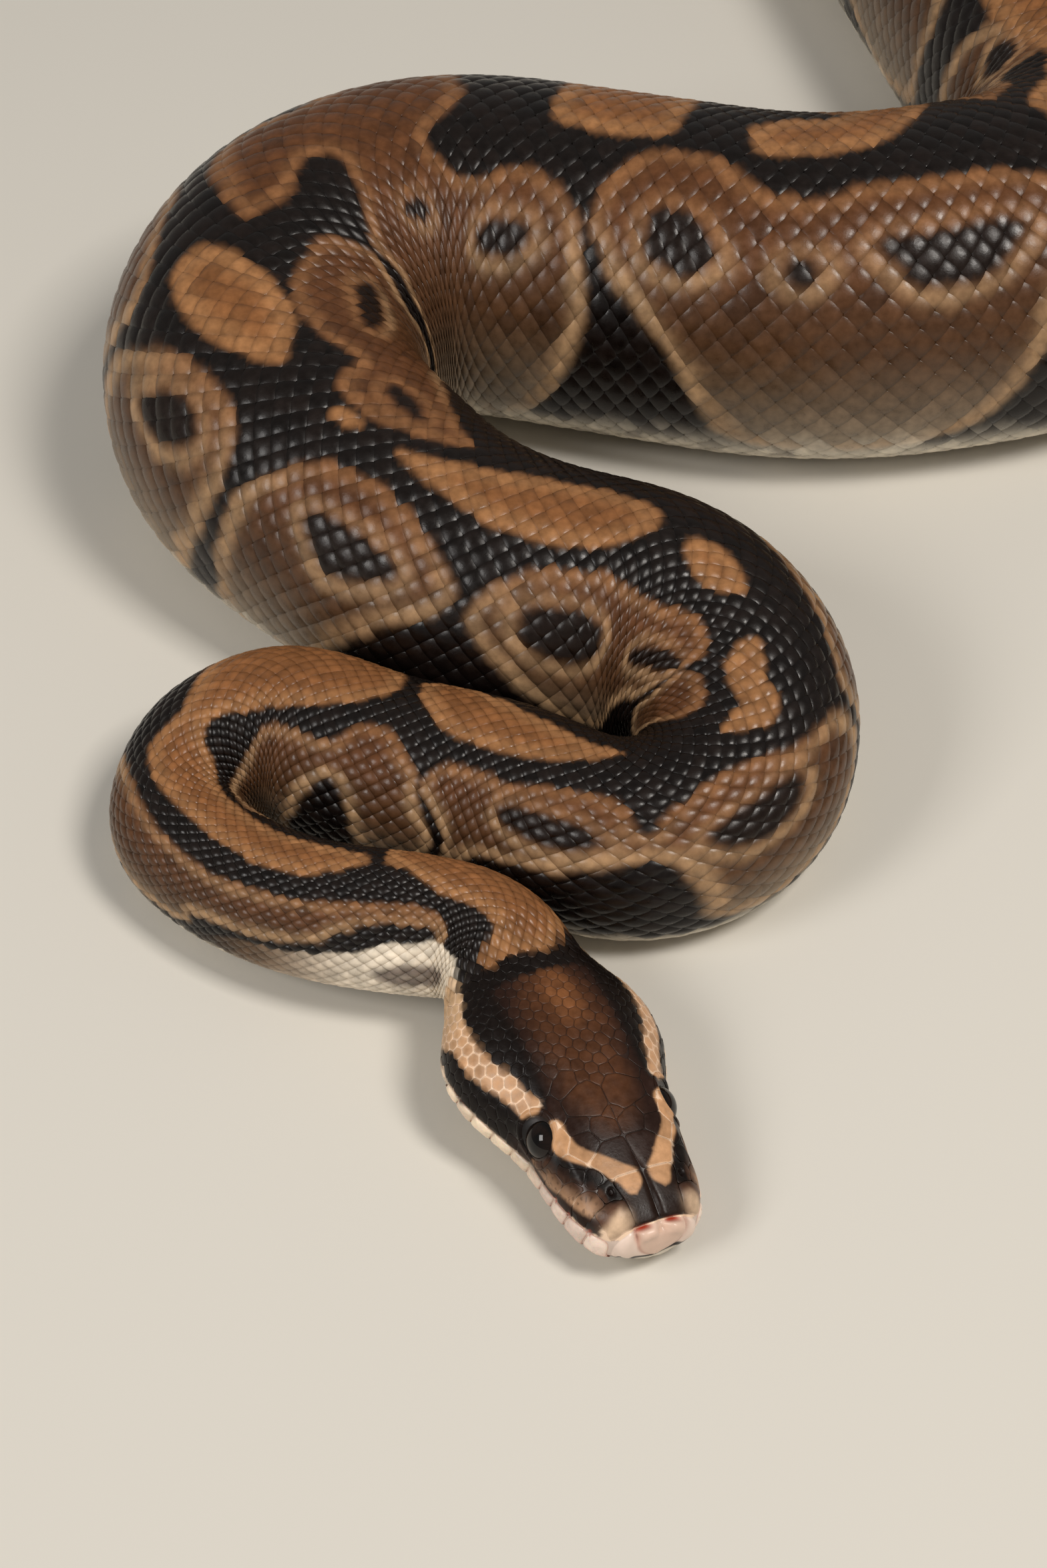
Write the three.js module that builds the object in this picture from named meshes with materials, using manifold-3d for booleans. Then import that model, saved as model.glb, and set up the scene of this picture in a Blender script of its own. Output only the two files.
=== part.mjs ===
// Ball python, life size, resting on the floor in loose coils with its head laid forward.
// Units are millimetres, +Z is up, and z = 0 is the floor that the belly and chin rest on.
// The animal is one swept form: a spine line laid out on the floor by a chain of eased bends,
// and a cross-section that changes along it, from the snout tip at s = 0 to the tail tip.
// The form is parted across the spine into head, neck, trunk lengths and tail. The head is
// parted again along the mouth into upper head and jaw, with a ball for each eye in its socket.

import * as THREE from "three";
import { mergeVertices } from "three/addons/utils/BufferGeometryUtils.js";
import Module from "manifold-3d";

// ---- driving dimensions ------------------------------------------------------------------

const TOTAL_LENGTH = 1180;
const SNOUT_TIP = new THREE.Vector2(-50.28, -193.2); // puts the origin under the middle
const HEAD_HEADING_DEG = 115.5; // from the snout towards the nape, counter-clockwise from +X
const HEAD_ROLL_DEG = 8; // raises the right side of the head
const ROLL_AXIS_HEIGHT = 9;
const ROLL_FADE = [40, 80]; // the roll dies out between these distances from the snout
const FLOOR_HEIGHT = 0;

// Bends of the spine line: distance of the middle from the snout, length, and turn in degrees,
// positive to the left of someone walking from head to tail.
const BENDS = [
  { name: "neck hook", middle: 54.5, length: 16, turn: 55.5 },
  { name: "near loop entry", middle: 94, length: 72, turn: -60.5 },
  { name: "near loop", middle: 123, length: 49.5, turn: -145 },
  { name: "near loop exit", middle: 171.5, length: 26, turn: -38 },
  { name: "near reach", middle: 174.5, length: 94, turn: 58.5 },
  { name: "right turn", middle: 216.5, length: 97, turn: 187 },
  { name: "middle reach", middle: 274, length: 54, turn: -38 },
  { name: "left turn entry", middle: 327, length: 64, turn: -46 },
  { name: "left turn", middle: 353.5, length: 90, turn: -64 },
  { name: "left turn exit", middle: 373, length: 59, turn: -38.5 },
  { name: "far reach", middle: 446, length: 46, turn: 26 },
  { name: "return turn", middle: 502.5, length: 77, turn: 94 },
  { name: "back loop", middle: 705, length: 168, turn: -178 },
  { name: "side reach", middle: 890, length: 110, turn: -34 },
  { name: "tail sway", middle: 1010, length: 120, turn: 38 },
  { name: "tail curl", middle: 1125, length: 100, turn: -66 },
];
const BEND_EASE = 0.5; // share of a bend over which it builds up and dies away

// Head sections: distance from the snout, half width, heights of the top, of the widest level
// and of the underside, and the squareness of the upper and lower halves (2 is an ellipse).
const HEAD_SECTIONS = [
  [0, 0, 6.6, 5.6, 4.6, 2, 2],
  [0.35, 3.6, 8.2, 5.6, 3.4, 2.2, 2],
  [1.2, 5.9, 9.5, 5.6, 2.4, 2.5, 2.2],
  [3, 7.9, 10.7, 5.7, 1.3, 2.7, 2.3],
  [6, 9.4, 12, 5.9, 0.4, 2.8, 2.4],
  [10, 10.2, 13.4, 6.2, 0, 2.8, 2.5],
  [14, 10.6, 14.8, 6.6, 0, 2.7, 2.5],
  [18, 11.1, 16, 7, 0, 2.5, 2.5],
  [22, 12.4, 16.9, 7.3, 0, 2.3, 2.5],
  [26, 14.3, 17.6, 7.6, 0, 2.2, 2.5],
  [30, 15.8, 18.2, 8, 0.3, 2.15, 2.5],
  [34, 16.2, 18.6, 8.4, 0.9, 2.1, 2.5],
  [38, 15.4, 18.9, 8.8, 1.8, 2.1, 2.5],
  [42, 13.4, 19.2, 9.4, 2.6, 2, 2.5],
  [46, 11.2, 19.7, 10.3, 3.3, 2, 2.5],
];

// Half width of the neck, trunk and tail at distances from the snout.
const GIRTH = [
  [51, 9.8],
  [57, 9.9],
  [66, 10.3],
  [100, 10.1],
  [113, 10.3],
  [123, 12],
  [135.5, 13.9],
  [151.5, 14.4],
  [196.5, 15.2],
  [213.5, 16.6],
  [231.5, 19],
  [249.5, 21],
  [276.5, 22.4],
  [306.5, 24.8],
  [336.5, 26.8],
  [363.5, 28.4],
  [401.5, 28.9],
  [560, 29.2],
  [680, 28.4],
  [800, 26],
  [900, 22.2],
  [1000, 17.2],
  [1075, 12.4],
  [1120, 9],
  [1150, 6],
  [1170, 3.6],
  [1178, 2.2],
];
const TAIL_TIP_SECTION = [TOTAL_LENGTH, 0, 2.6, 1.8, 1, 2, 2.6];
const BACK_HEIGHT = 1; // height of the back over the widest level, in half widths
const FLANK_HEIGHT = 0.78; // height of the widest level over the belly, in half widths
const TRUNK_UPPER_SQUARENESS = 2;
const TRUNK_LOWER_SQUARENESS = 2.6;
const BELLY_FULLNESS = 1.05; // the lower half dips this far before the belly plane flattens it
const NECK_LIFT = 4.2;
const LIFT_FADE = [64, 112]; // the neck comes down to the floor between these distances

const CUT_GAP = 0.35; // clear space between neighbouring solids
const HEAD_END = 46;
// Distances from the snout at which the body is parted, with the name of each length.
const BODY_LENGTHS = [
  ["neck", 91],
  ["trunk_1", 146],
  ["trunk_2", 180],
  ["trunk_3", 256],
  ["trunk_4", 300],
  ["trunk_5", 412],
  ["trunk_6", 468],
  ["trunk_7", 545],
  ["trunk_8", 632],
  ["trunk_9", 705],
  ["trunk_10", 784],
  ["trunk_11", 870],
  ["trunk_12", 960],
  ["trunk_13", 1075],
  ["tail", TOTAL_LENGTH],
];
const BODY_SIDES = 15; // an odd count puts a point on the back and a flat under the belly
const HEAD_SIDES = 24;
const RING_SPACING = 8.5;
const RING_TURN_DEG = 10;
const HEAD_RING_SPACING = 2;

const EYE = { along: 18.7, aside: 8.15, height: 11.05, radius: 3.6 };
const EYE_SEGMENTS = [16, 12];

// Mouth line: distance from the snout and height. Behind its corner the cut drops to the throat.
const MOUTH_LINE = [
  [-1, 3.9],
  [3, 3.8],
  [10, 4.1],
  [20, 4.9],
  [28, 6],
  [34, 7.4],
];

const COLOURS = {
  head: 0x3a2418,
  jaw: 0xd8c2a8,
  eye: 0x060505,
  trunk: 0x57402d,
};

// ---- spine line --------------------------------------------------------------------------

const SPINE_STEP = 0.25;

/** Strength of a bend at u, measured in bend lengths from its middle: flat with eased ends. */
function bendWindow(u) {
  const reach = Math.abs(u) * 2;
  if (reach >= 1) return 0;
  const level = 1 / (1 - BEND_EASE / 2);
  if (reach <= 1 - BEND_EASE) return level;
  return level * 0.5 * (1 + Math.cos((Math.PI * (reach - 1 + BEND_EASE)) / BEND_EASE));
}

/** Curvature of the spine line in radians per millimetre. */
function curvatureAt(s) {
  let curvature = 0;
  for (const bend of BENDS) {
    const peak = THREE.MathUtils.degToRad(bend.turn) / bend.length;
    curvature += peak * bendWindow((s - bend.middle) / bend.length);
  }
  return curvature;
}

/** Walks the spine line in small steps and keeps position and heading at each. */
function traceSpine() {
  const places = [];
  let x = SNOUT_TIP.x;
  let y = SNOUT_TIP.y;
  let heading = THREE.MathUtils.degToRad(HEAD_HEADING_DEG);
  const count = Math.round(TOTAL_LENGTH / SPINE_STEP);
  for (let i = 0; i <= count; i++) {
    places.push({ x, y, heading });
    const turn = curvatureAt((i + 0.5) * SPINE_STEP) * SPINE_STEP;
    const middleHeading = heading + turn / 2;
    x += Math.cos(middleHeading) * SPINE_STEP;
    y += Math.sin(middleHeading) * SPINE_STEP;
    heading += turn;
  }
  return places;
}

const spine = traceSpine();

/** Position and heading of the spine line at a distance from the snout. */
function spineAt(s) {
  const at = THREE.MathUtils.clamp(s / SPINE_STEP, 0, spine.length - 1.000001);
  const low = Math.floor(at);
  const share = at - low;
  const a = spine[low];
  const b = spine[low + 1];
  return {
    x: THREE.MathUtils.lerp(a.x, b.x, share),
    y: THREE.MathUtils.lerp(a.y, b.y, share),
    heading: THREE.MathUtils.lerp(a.heading, b.heading, share),
  };
}

// ---- cross-sections ----------------------------------------------------------------------

/** Smooth curve through rows of [distance, values...] that never overshoots its points. */
function makeSmoothTable(rows) {
  const places = rows.map((row) => row[0]);
  const columns = rows[0].length - 1;
  const slopes = [];
  for (let c = 1; c <= columns; c++) {
    const rise = (k) => (rows[k + 1][c] - rows[k][c]) / (places[k + 1] - places[k]);
    const column = rows.map((_, k) => {
      if (k === 0) return rise(0);
      if (k === rows.length - 1) return rise(k - 1);
      const before = rise(k - 1);
      const after = rise(k);
      if (before * after <= 0) return 0;
      const back = places[k] - places[k - 1];
      const ahead = places[k + 1] - places[k];
      const weightBefore = 2 * ahead + back;
      const weightAfter = ahead + 2 * back;
      return (weightBefore + weightAfter) / (weightBefore / before + weightAfter / after);
    });
    slopes.push(column);
  }
  return (s) => {
    const at = THREE.MathUtils.clamp(s, places[0], places[places.length - 1]);
    let k = 0;
    while (k < places.length - 2 && at > places[k + 1]) k++;
    const span = places[k + 1] - places[k];
    const t = (at - places[k]) / span;
    const startWeight = (1 + 2 * t) * (1 - t) * (1 - t);
    const endWeight = t * t * (3 - 2 * t);
    return slopes.map((column, c) => {
      const ends = startWeight * rows[k][c + 1] + endWeight * rows[k + 1][c + 1];
      const startSlope = t * (1 - t) * (1 - t) * span * column[k];
      const endSlope = t * t * (t - 1) * span * column[k + 1];
      return ends + startSlope + endSlope;
    });
  };
}

/** 0 before the range, 1 after it, eased between. */
function ease(s, [from, to]) {
  return THREE.MathUtils.smoothstep(s, from, to);
}

/** The section row of the neck, trunk or tail with a given half width. */
function trunkSection([s, halfWidth]) {
  const belly = NECK_LIFT * (1 - ease(s, LIFT_FADE));
  const widest = belly + FLANK_HEIGHT * halfWidth;
  const back = widest + BACK_HEIGHT * halfWidth;
  return [s, halfWidth, back, widest, belly, TRUNK_UPPER_SQUARENESS, TRUNK_LOWER_SQUARENESS];
}

const sectionAt = makeSmoothTable([
  ...HEAD_SECTIONS,
  ...GIRTH.map(trunkSection),
  TAIL_TIP_SECTION,
]);

/** A point of the outline of the section at s: angle 0 is the back, 90 degrees the right flank. */
function outlinePoint(s, angle) {
  const [halfWidth, top, widest, bottom, upper, lower] = sectionAt(s);
  const up = Math.cos(angle);
  const out = Math.sin(angle);
  const power = 2 / (up >= 0 ? upper : lower);
  const aside = Math.sign(out) * Math.abs(out) ** power * halfWidth;
  if (up >= 0) return { aside, height: widest + up ** power * (top - widest) };
  const drop = Math.abs(up) ** power * (widest - bottom) * BELLY_FULLNESS;
  return { aside, height: Math.max(widest - drop, bottom) };
}

/** Carries a point of the section at s, given aside and height, to its place on the floor plan. */
function place(s, aside, height) {
  const { x, y, heading } = spineAt(s);
  const fade = 1 - ease(s, ROLL_FADE);
  const roll = THREE.MathUtils.degToRad(HEAD_ROLL_DEG) * fade;
  const above = height - ROLL_AXIS_HEIGHT;
  const sideways = aside * Math.cos(roll) - above * Math.sin(roll);
  const rolledUp = aside * Math.sin(roll) + above * Math.cos(roll);
  return new THREE.Vector3(
    x - Math.sin(heading) * sideways,
    y + Math.cos(heading) * sideways,
    Math.max(ROLL_AXIS_HEIGHT + rolledUp, FLOOR_HEIGHT),
  );
}

// ---- lofted solids -----------------------------------------------------------------------

/** Closed geometry through rings of equal counts, ended by a point or by a fan on a flat end. */
function loft(rings, startPoint, endPoint) {
  const sides = rings[0].length;
  const positions = [];
  for (const point of [startPoint, endPoint, ...rings.flat()]) positions.push(...point);
  const index = [];
  const vertex = (ring, side) => 2 + ring * sides + (side % sides);
  const last = rings.length - 1;
  for (let side = 0; side < sides; side++) {
    index.push(0, vertex(0, side), vertex(0, side + 1));
    index.push(1, vertex(last, side + 1), vertex(last, side));
  }
  for (let ring = 0; ring < last; ring++) {
    for (let side = 0; side < sides; side++) {
      const a = vertex(ring, side);
      const b = vertex(ring, side + 1);
      const c = vertex(ring + 1, side);
      const d = vertex(ring + 1, side + 1);
      index.push(a, d, b, a, c, d);
    }
  }
  const geometry = new THREE.BufferGeometry();
  geometry.setAttribute("position", new THREE.Float32BufferAttribute(positions, 3));
  geometry.setIndex(index);
  return geometry;
}

/** Gap along the spine that leaves CUT_GAP even on the inner side of a bend. */
function cutGapAt(s) {
  const squeeze = Math.abs(curvatureAt(s)) * sectionAt(s)[0];
  return CUT_GAP / (1 - squeeze);
}

/** Distances of the rings from one cut to the next: closer together where the spine bends. */
function ringPlaces(from, to) {
  const limit = THREE.MathUtils.degToRad(RING_TURN_DEG);
  const crowding = (s) => Math.max(1 / RING_SPACING, Math.abs(curvatureAt(s)) / limit);
  let total = 0;
  for (let s = from; s < to; s += 1) total += crowding(s);
  const count = Math.max(2, Math.ceil(total));
  const places = [from];
  let sum = 0;
  for (let s = from; s < to; s += SPINE_STEP) {
    sum += crowding(s) * SPINE_STEP;
    const due = (places.length * total) / count;
    if (sum >= due && places.length < count) places.push(s);
  }
  places.push(to);
  return places;
}

/** The ring of outline points at s, carried to its place. */
function placedRing(s, sides) {
  const ring = [];
  for (let side = 0; side < sides; side++) {
    const { aside, height } = outlinePoint(s, (2 * Math.PI * side) / sides);
    ring.push(place(s, aside, height));
  }
  return ring;
}

/** One length of neck, trunk or tail between two cuts; the last one runs to the tail tip. */
function bodyLength(from, to) {
  const isTail = to === TOTAL_LENGTH;
  const start = from + cutGapAt(from) / 2;
  const end = isTail ? to - 0.6 : to - cutGapAt(to) / 2;
  const rings = ringPlaces(start, end).map((s) => placedRing(s, BODY_SIDES));
  const endHeight = sectionAt(end)[2];
  const startPoint = place(start, 0, sectionAt(start)[2]);
  return loft(rings, startPoint, place(isTail ? to : end, 0, endHeight));
}

// ---- head, jaw and eyes ------------------------------------------------------------------

const wasm = await Module();
wasm.setup();

/** Turns a closed geometry into a manifold solid. */
function toSolid(geometry) {
  const bare = geometry.clone();
  bare.deleteAttribute("normal");
  bare.deleteAttribute("uv");
  const merged = mergeVertices(bare, 1e-4);
  return new wasm.Manifold(
    new wasm.Mesh({
      numProp: 3,
      vertProperties: new Float32Array(merged.attributes.position.array),
      triVerts: new Uint32Array(merged.index.array),
    }),
  );
}

/** Reads a manifold solid built in head axes and lays it in its place on the spine line. */
function toPlacedGeometry(solid) {
  const { numProp, vertProperties, triVerts } = solid.getMesh();
  const positions = [];
  for (let i = 0; i < vertProperties.length; i += numProp) {
    const [along, aside, height] = vertProperties.slice(i, i + 3);
    positions.push(...place(along, aside, height));
  }
  const geometry = new THREE.BufferGeometry();
  geometry.setAttribute("position", new THREE.Float32BufferAttribute(positions, 3));
  geometry.setIndex([...triVerts]);
  return geometry;
}

/** The whole head in head axes: x along from the snout, y aside to the right, z up. */
function headForm() {
  const end = HEAD_END - CUT_GAP / 2;
  const front = HEAD_SECTIONS.map((row) => row[0]).filter((s) => s > 0 && s < 6);
  const places = [...front];
  for (let s = 6; s < end - 1; s += HEAD_RING_SPACING) places.push(s);
  places.push(end);
  const rings = places.map((s) => {
    const ring = [];
    for (let side = 0; side < HEAD_SIDES; side++) {
      const { aside, height } = outlinePoint(s, (2 * Math.PI * side) / HEAD_SIDES);
      ring.push(new THREE.Vector3(s, aside, height));
    }
    return ring;
  });
  const tip = new THREE.Vector3(0, 0, sectionAt(0)[2]);
  const back = new THREE.Vector3(end, 0, sectionAt(end)[2]);
  return loft(rings, tip, back);
}

/** Thin slab that follows the mouth line and drops behind its corner, as wide as the head. */
function mouthCut() {
  const below = -4;
  const half = CUT_GAP / 2;
  const upper = MOUTH_LINE.map(([along, height]) => new THREE.Vector2(along, height + half));
  const lower = MOUTH_LINE.map(([along, height]) => new THREE.Vector2(along, height - half));
  const corner = upper[upper.length - 1];
  const outline = new THREE.Shape([
    ...upper,
    new THREE.Vector2(corner.x + CUT_GAP, corner.y),
    new THREE.Vector2(corner.x + CUT_GAP, below),
    new THREE.Vector2(corner.x, below),
    ...lower.reverse(),
  ]);
  const width = 50;
  const slab = new THREE.ExtrudeGeometry(outline, { depth: width, bevelEnabled: false });
  slab.translate(0, 0, -width / 2);
  slab.rotateX(Math.PI / 2);
  return slab;
}

/** A ball at the place of one eye, in head axes; side is 1 for the right eye, -1 for the left. */
function eyeBall(side, radius) {
  const ball = new THREE.SphereGeometry(radius, ...EYE_SEGMENTS);
  ball.rotateX(Math.PI / 2);
  ball.translate(EYE.along, side * EYE.aside, EYE.height);
  return ball;
}

/** The upper head and the jaw, parted along the mouth and hollowed for the eyes. */
function headAndJaw() {
  const sockets = [1, -1].map((side) => toSolid(eyeBall(side, EYE.radius + CUT_GAP)));
  let solid = toSolid(headForm()).subtract(toSolid(mouthCut()));
  for (const socket of sockets) solid = solid.subtract(socket);
  const parts = solid.decompose().sort((a, b) => b.volume() - a.volume());
  return { head: toPlacedGeometry(parts[0]), jaw: toPlacedGeometry(parts[1]) };
}

// ---- assembly ----------------------------------------------------------------------------

/** A named mesh with its own material. */
function namedMesh(name, geometry, colour, roughness) {
  const material = new THREE.MeshStandardMaterial({ color: colour, roughness, metalness: 0 });
  const mesh = new THREE.Mesh(geometry, material);
  mesh.name = name;
  return mesh;
}

const python = new THREE.Group();

const { head, jaw } = headAndJaw();
python.add(namedMesh("head", head, COLOURS.head, 0.45));
python.add(namedMesh("jaw", jaw, COLOURS.jaw, 0.5));
for (const [name, side] of [["eye_right", 1], ["eye_left", -1]]) {
  const ball = toPlacedGeometry(toSolid(eyeBall(side, EYE.radius)));
  python.add(namedMesh(name, ball, COLOURS.eye, 0.08));
}

let from = HEAD_END;
for (const [name, to] of BODY_LENGTHS) {
  python.add(namedMesh(name, bodyLength(from, to), COLOURS.trunk, 0.5));
  from = to;
}

export default python;
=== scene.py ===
"""Life-size ball python resting in loose coils, its skin, scales, plates and eyes, with a plain studio.

All shapes are worked out in millimetres on one chart of the body: s is the distance from the snout tip
along the spine, and p is the share of the way from the back (0) round to the middle of the belly (1),
positive on the snake's right side. Meshes are written in metres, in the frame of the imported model.
"""

import logging
import math
from dataclasses import dataclass, field
from enum import Enum

import bpy
import numpy as np
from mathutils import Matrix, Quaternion, Vector


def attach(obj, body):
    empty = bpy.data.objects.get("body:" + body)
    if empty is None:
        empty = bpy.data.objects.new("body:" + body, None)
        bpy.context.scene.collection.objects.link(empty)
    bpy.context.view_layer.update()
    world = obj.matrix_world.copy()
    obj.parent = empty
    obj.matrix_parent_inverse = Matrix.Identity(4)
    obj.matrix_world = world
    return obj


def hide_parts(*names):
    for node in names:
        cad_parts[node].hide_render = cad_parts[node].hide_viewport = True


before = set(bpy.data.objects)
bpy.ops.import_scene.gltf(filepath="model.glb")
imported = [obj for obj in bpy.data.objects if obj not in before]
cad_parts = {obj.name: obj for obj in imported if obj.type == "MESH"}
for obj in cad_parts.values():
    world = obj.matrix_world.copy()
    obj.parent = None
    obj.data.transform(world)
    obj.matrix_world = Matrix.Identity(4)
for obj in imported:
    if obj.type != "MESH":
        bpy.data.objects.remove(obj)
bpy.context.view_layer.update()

log = logging.getLogger("ball_python")

MM = 0.001  # metres in a millimetre
SEED = 20
Array = np.ndarray
Range = tuple[float, float]

# ---- driving dimensions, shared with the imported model, in millimetres --------------------

TOTAL_LENGTH = 1180.0
SNOUT_TIP = (-50.28, -193.2)
HEAD_HEADING_DEG = 115.5
HEAD_ROLL_DEG = 8.0
ROLL_AXIS_HEIGHT = 9.0
ROLL_FADE = (40.0, 80.0)

# Bends of the spine: distance of the middle from the snout, length, turn in degrees.
BENDS = (
    (54.5, 16, 55.5),  # neck hook
    (94, 72, -60.5),  # near loop entry
    (123, 49.5, -145),  # near loop
    (171.5, 26, -38),  # near loop exit
    (174.5, 94, 58.5),  # near reach
    (216.5, 97, 187),  # right turn
    (274, 54, -38),  # middle reach
    (327, 64, -46),  # left turn entry
    (353.5, 90, -64),  # left turn
    (373, 59, -38.5),  # left turn exit
    (446, 46, 26),  # far reach
    (502.5, 77, 94),  # return turn
    (705, 168, -178),  # back loop
    (890, 110, -34),  # side reach
    (1010, 120, 38),  # tail sway
    (1125, 100, -66),  # tail curl
)
BEND_EASE = 0.5

# Distance from the snout, half width, top, widest level, underside, upper and lower squareness.
HEAD_SECTIONS = (
    (0, 0, 6.6, 5.6, 4.6, 2, 2),
    (0.35, 3.6, 8.2, 5.6, 3.4, 2.2, 2),
    (1.2, 5.9, 9.5, 5.6, 2.4, 2.5, 2.2),
    (3, 7.9, 10.7, 5.7, 1.3, 2.7, 2.3),
    (6, 9.4, 12, 5.9, 0.4, 2.8, 2.4),
    (10, 10.2, 13.4, 6.2, 0, 2.8, 2.5),
    (14, 10.6, 14.8, 6.6, 0, 2.7, 2.5),
    (18, 11.1, 16, 7, 0, 2.5, 2.5),
    (22, 12.4, 16.9, 7.3, 0, 2.3, 2.5),
    (26, 14.3, 17.6, 7.6, 0, 2.2, 2.5),
    (30, 15.8, 18.2, 8, 0.3, 2.15, 2.5),
    (34, 16.2, 18.6, 8.4, 0.9, 2.1, 2.5),
    (38, 15.4, 18.9, 8.8, 1.8, 2.1, 2.5),
    (42, 13.4, 19.2, 9.4, 2.6, 2, 2.5),
    (46, 11.2, 19.7, 10.3, 3.3, 2, 2.5),
)
# Distance from the snout and half width of the neck, trunk and tail.
GIRTH = (
    (51, 9.8), (57, 9.9), (66, 10.3), (100, 10.1), (113, 10.3), (123, 12), (135.5, 13.9),
    (151.5, 14.4), (196.5, 15.2), (213.5, 16.6), (231.5, 19), (249.5, 21), (276.5, 22.4),
    (306.5, 24.8), (336.5, 26.8), (363.5, 28.4), (401.5, 28.9), (560, 29.2), (680, 28.4),
    (800, 26), (900, 22.2), (1000, 17.2), (1075, 12.4), (1120, 9), (1150, 6), (1170, 3.6),
    (1178, 2.2),
)
TAIL_TIP_SECTION = (TOTAL_LENGTH, 0, 2.6, 1.8, 1, 2, 2.6)
BACK_HEIGHT = 1.0
FLANK_HEIGHT = 0.78
TRUNK_SQUARENESS = (2.0, 2.6)
BELLY_FULLNESS = 1.05
NECK_LIFT = 4.2
LIFT_FADE = (64.0, 112.0)

HEAD_END = 44.6  # where the plates of the head give way to the scales of the body
VENT = 1075.0

NOSTRIL = (6.8, 5.5)  # distance from the snout, arc from its middle line
EYE_ALONG = 18.7
EYE_ARC = 11.7  # arc from the middle line to the middle of the eye
EYE_BALL_RADIUS = 3.3
# Steps of distance and of share of girth that give a normal, and the least distance used.
NORMAL_STEPS = (0.06, 0.004, 0.004)
COAT_DEPTH = 0.35  # how far the skin lies inside the outer form
HEAD_COAT_DEPTH = 0.10  # and on the head


# ---- small helpers -----------------------------------------------------------------------


def smoothstep(low: float, high: float, x: Array) -> Array:
    """Returns 0 below low, 1 above high, and an eased value between."""
    t = np.clip((np.asarray(x, float) - low) / (high - low), 0.0, 1.0)
    return t * t * (3.0 - 2.0 * t)


def tint(code: str) -> Array:
    """Turns a six-digit colour code into linear red, green and blue.

    Args:
        code: the colour as hexadecimal digits, such as "a8764a".

    Returns:
        Three linear values from 0 to 1.
    """
    part = np.array([int(code[i : i + 2], 16) for i in (0, 2, 4)]) / 255.0
    return np.where(part <= 0.04045, part / 12.92, ((part + 0.055) / 1.055) ** 2.4)


def hash_noise(*values: Array) -> Array:
    """Returns a repeatable scatter from 0 to 1 that differs for each set of values.

    Args:
        *values: arrays of one shape.

    Returns:
        The scatter, in the same shape.
    """
    total = np.zeros_like(np.asarray(values[0], float))
    for k, value in enumerate(values):
        total = total + np.asarray(value, float) * (12.9898 + 65.233 * k)
    return np.mod(np.sin(total) * 43758.5453, 1.0)


def blend(colour: Array, other: Array, share: Array) -> Array:
    """Returns colours carried towards others by a share for each place, held between 0 and 1."""
    return colour + (other - colour) * np.clip(share, 0, 1)[..., None]


def varied(tone: Array, grain: Array, spread: Range) -> Array:
    """Returns a tone at each place, times the first of spread and the second times the grain."""
    return tone * (spread[0] + spread[1] * grain)[..., None]


def bell(x: Array, middle: float, reach: float, power: int = 2) -> Array:
    """Returns e to the minus distance from the middle over the reach, to an even power."""
    return np.exp(-(((x - middle) / reach) ** power))


def unit_rays(count: int) -> Array:
    """Returns unit directions evenly round a circle, as two columns."""
    turn = np.arange(count) * 2 * math.pi / count
    return np.stack([np.cos(turn), np.sin(turn)], axis=1)


def wrapped(p: Array) -> Array:
    """Returns shares of the girth past the middle of the belly as those of the other side."""
    return np.where(p > 1, p - 2, np.where(p < -1, p + 2, p))


class SmoothTable:
    """A smooth curve through rows of [place, values...] that never overshoots its points.

    Between two rows it is a cubic whose end slopes are the weighted harmonic mean of the rises on
    either side, or nought where the rises differ in sign.
    """

    def __init__(self, rows: Array) -> None:
        """Takes the rows in order of place.

        Args:
            rows: places in the first column, rising, and their values in the others.
        """
        self.x = rows[:, 0].astype(float)
        self.y = rows[:, 1:].astype(float)
        gap = np.diff(self.x)[:, None]
        rise = np.diff(self.y, axis=0) / gap
        before, after = rise[:-1], rise[1:]
        w_before = 2 * gap[1:] + gap[:-1]
        w_after = gap[1:] + 2 * gap[:-1]
        same = before * after > 0
        safe_before = np.where(same, before, 1.0)
        safe_after = np.where(same, after, 1.0)
        mean = (w_before + w_after) / (w_before / safe_before + w_after / safe_after)
        inner = np.where(same, mean, 0.0)
        self.slope = np.vstack([rise[:1], inner, rise[-1:]])

    def __call__(self, place: Array) -> Array:
        """Returns the columns at each place, as an array with one more axis.

        Args:
            place: where the curve is read, in the units of the first column.

        Returns:
            The values, with the columns as the last axis.
        """
        at = np.clip(place, self.x[0], self.x[-1])
        k = np.clip(np.searchsorted(self.x, at, side="right") - 1, 0, len(self.x) - 2)
        gap = (self.x[k + 1] - self.x[k])[..., None]
        t = (at - self.x[k])[..., None] / gap
        start = (1 + 2 * t) * (1 - t) ** 2
        end = t * t * (3 - 2 * t)
        bend = t * (1 - t) ** 2 * gap * self.slope[k] + t * t * (t - 1) * gap * self.slope[k + 1]
        return start * self.y[k] + end * self.y[k + 1] + bend


# ---- the form of the body ----------------------------------------------------------------


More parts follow.
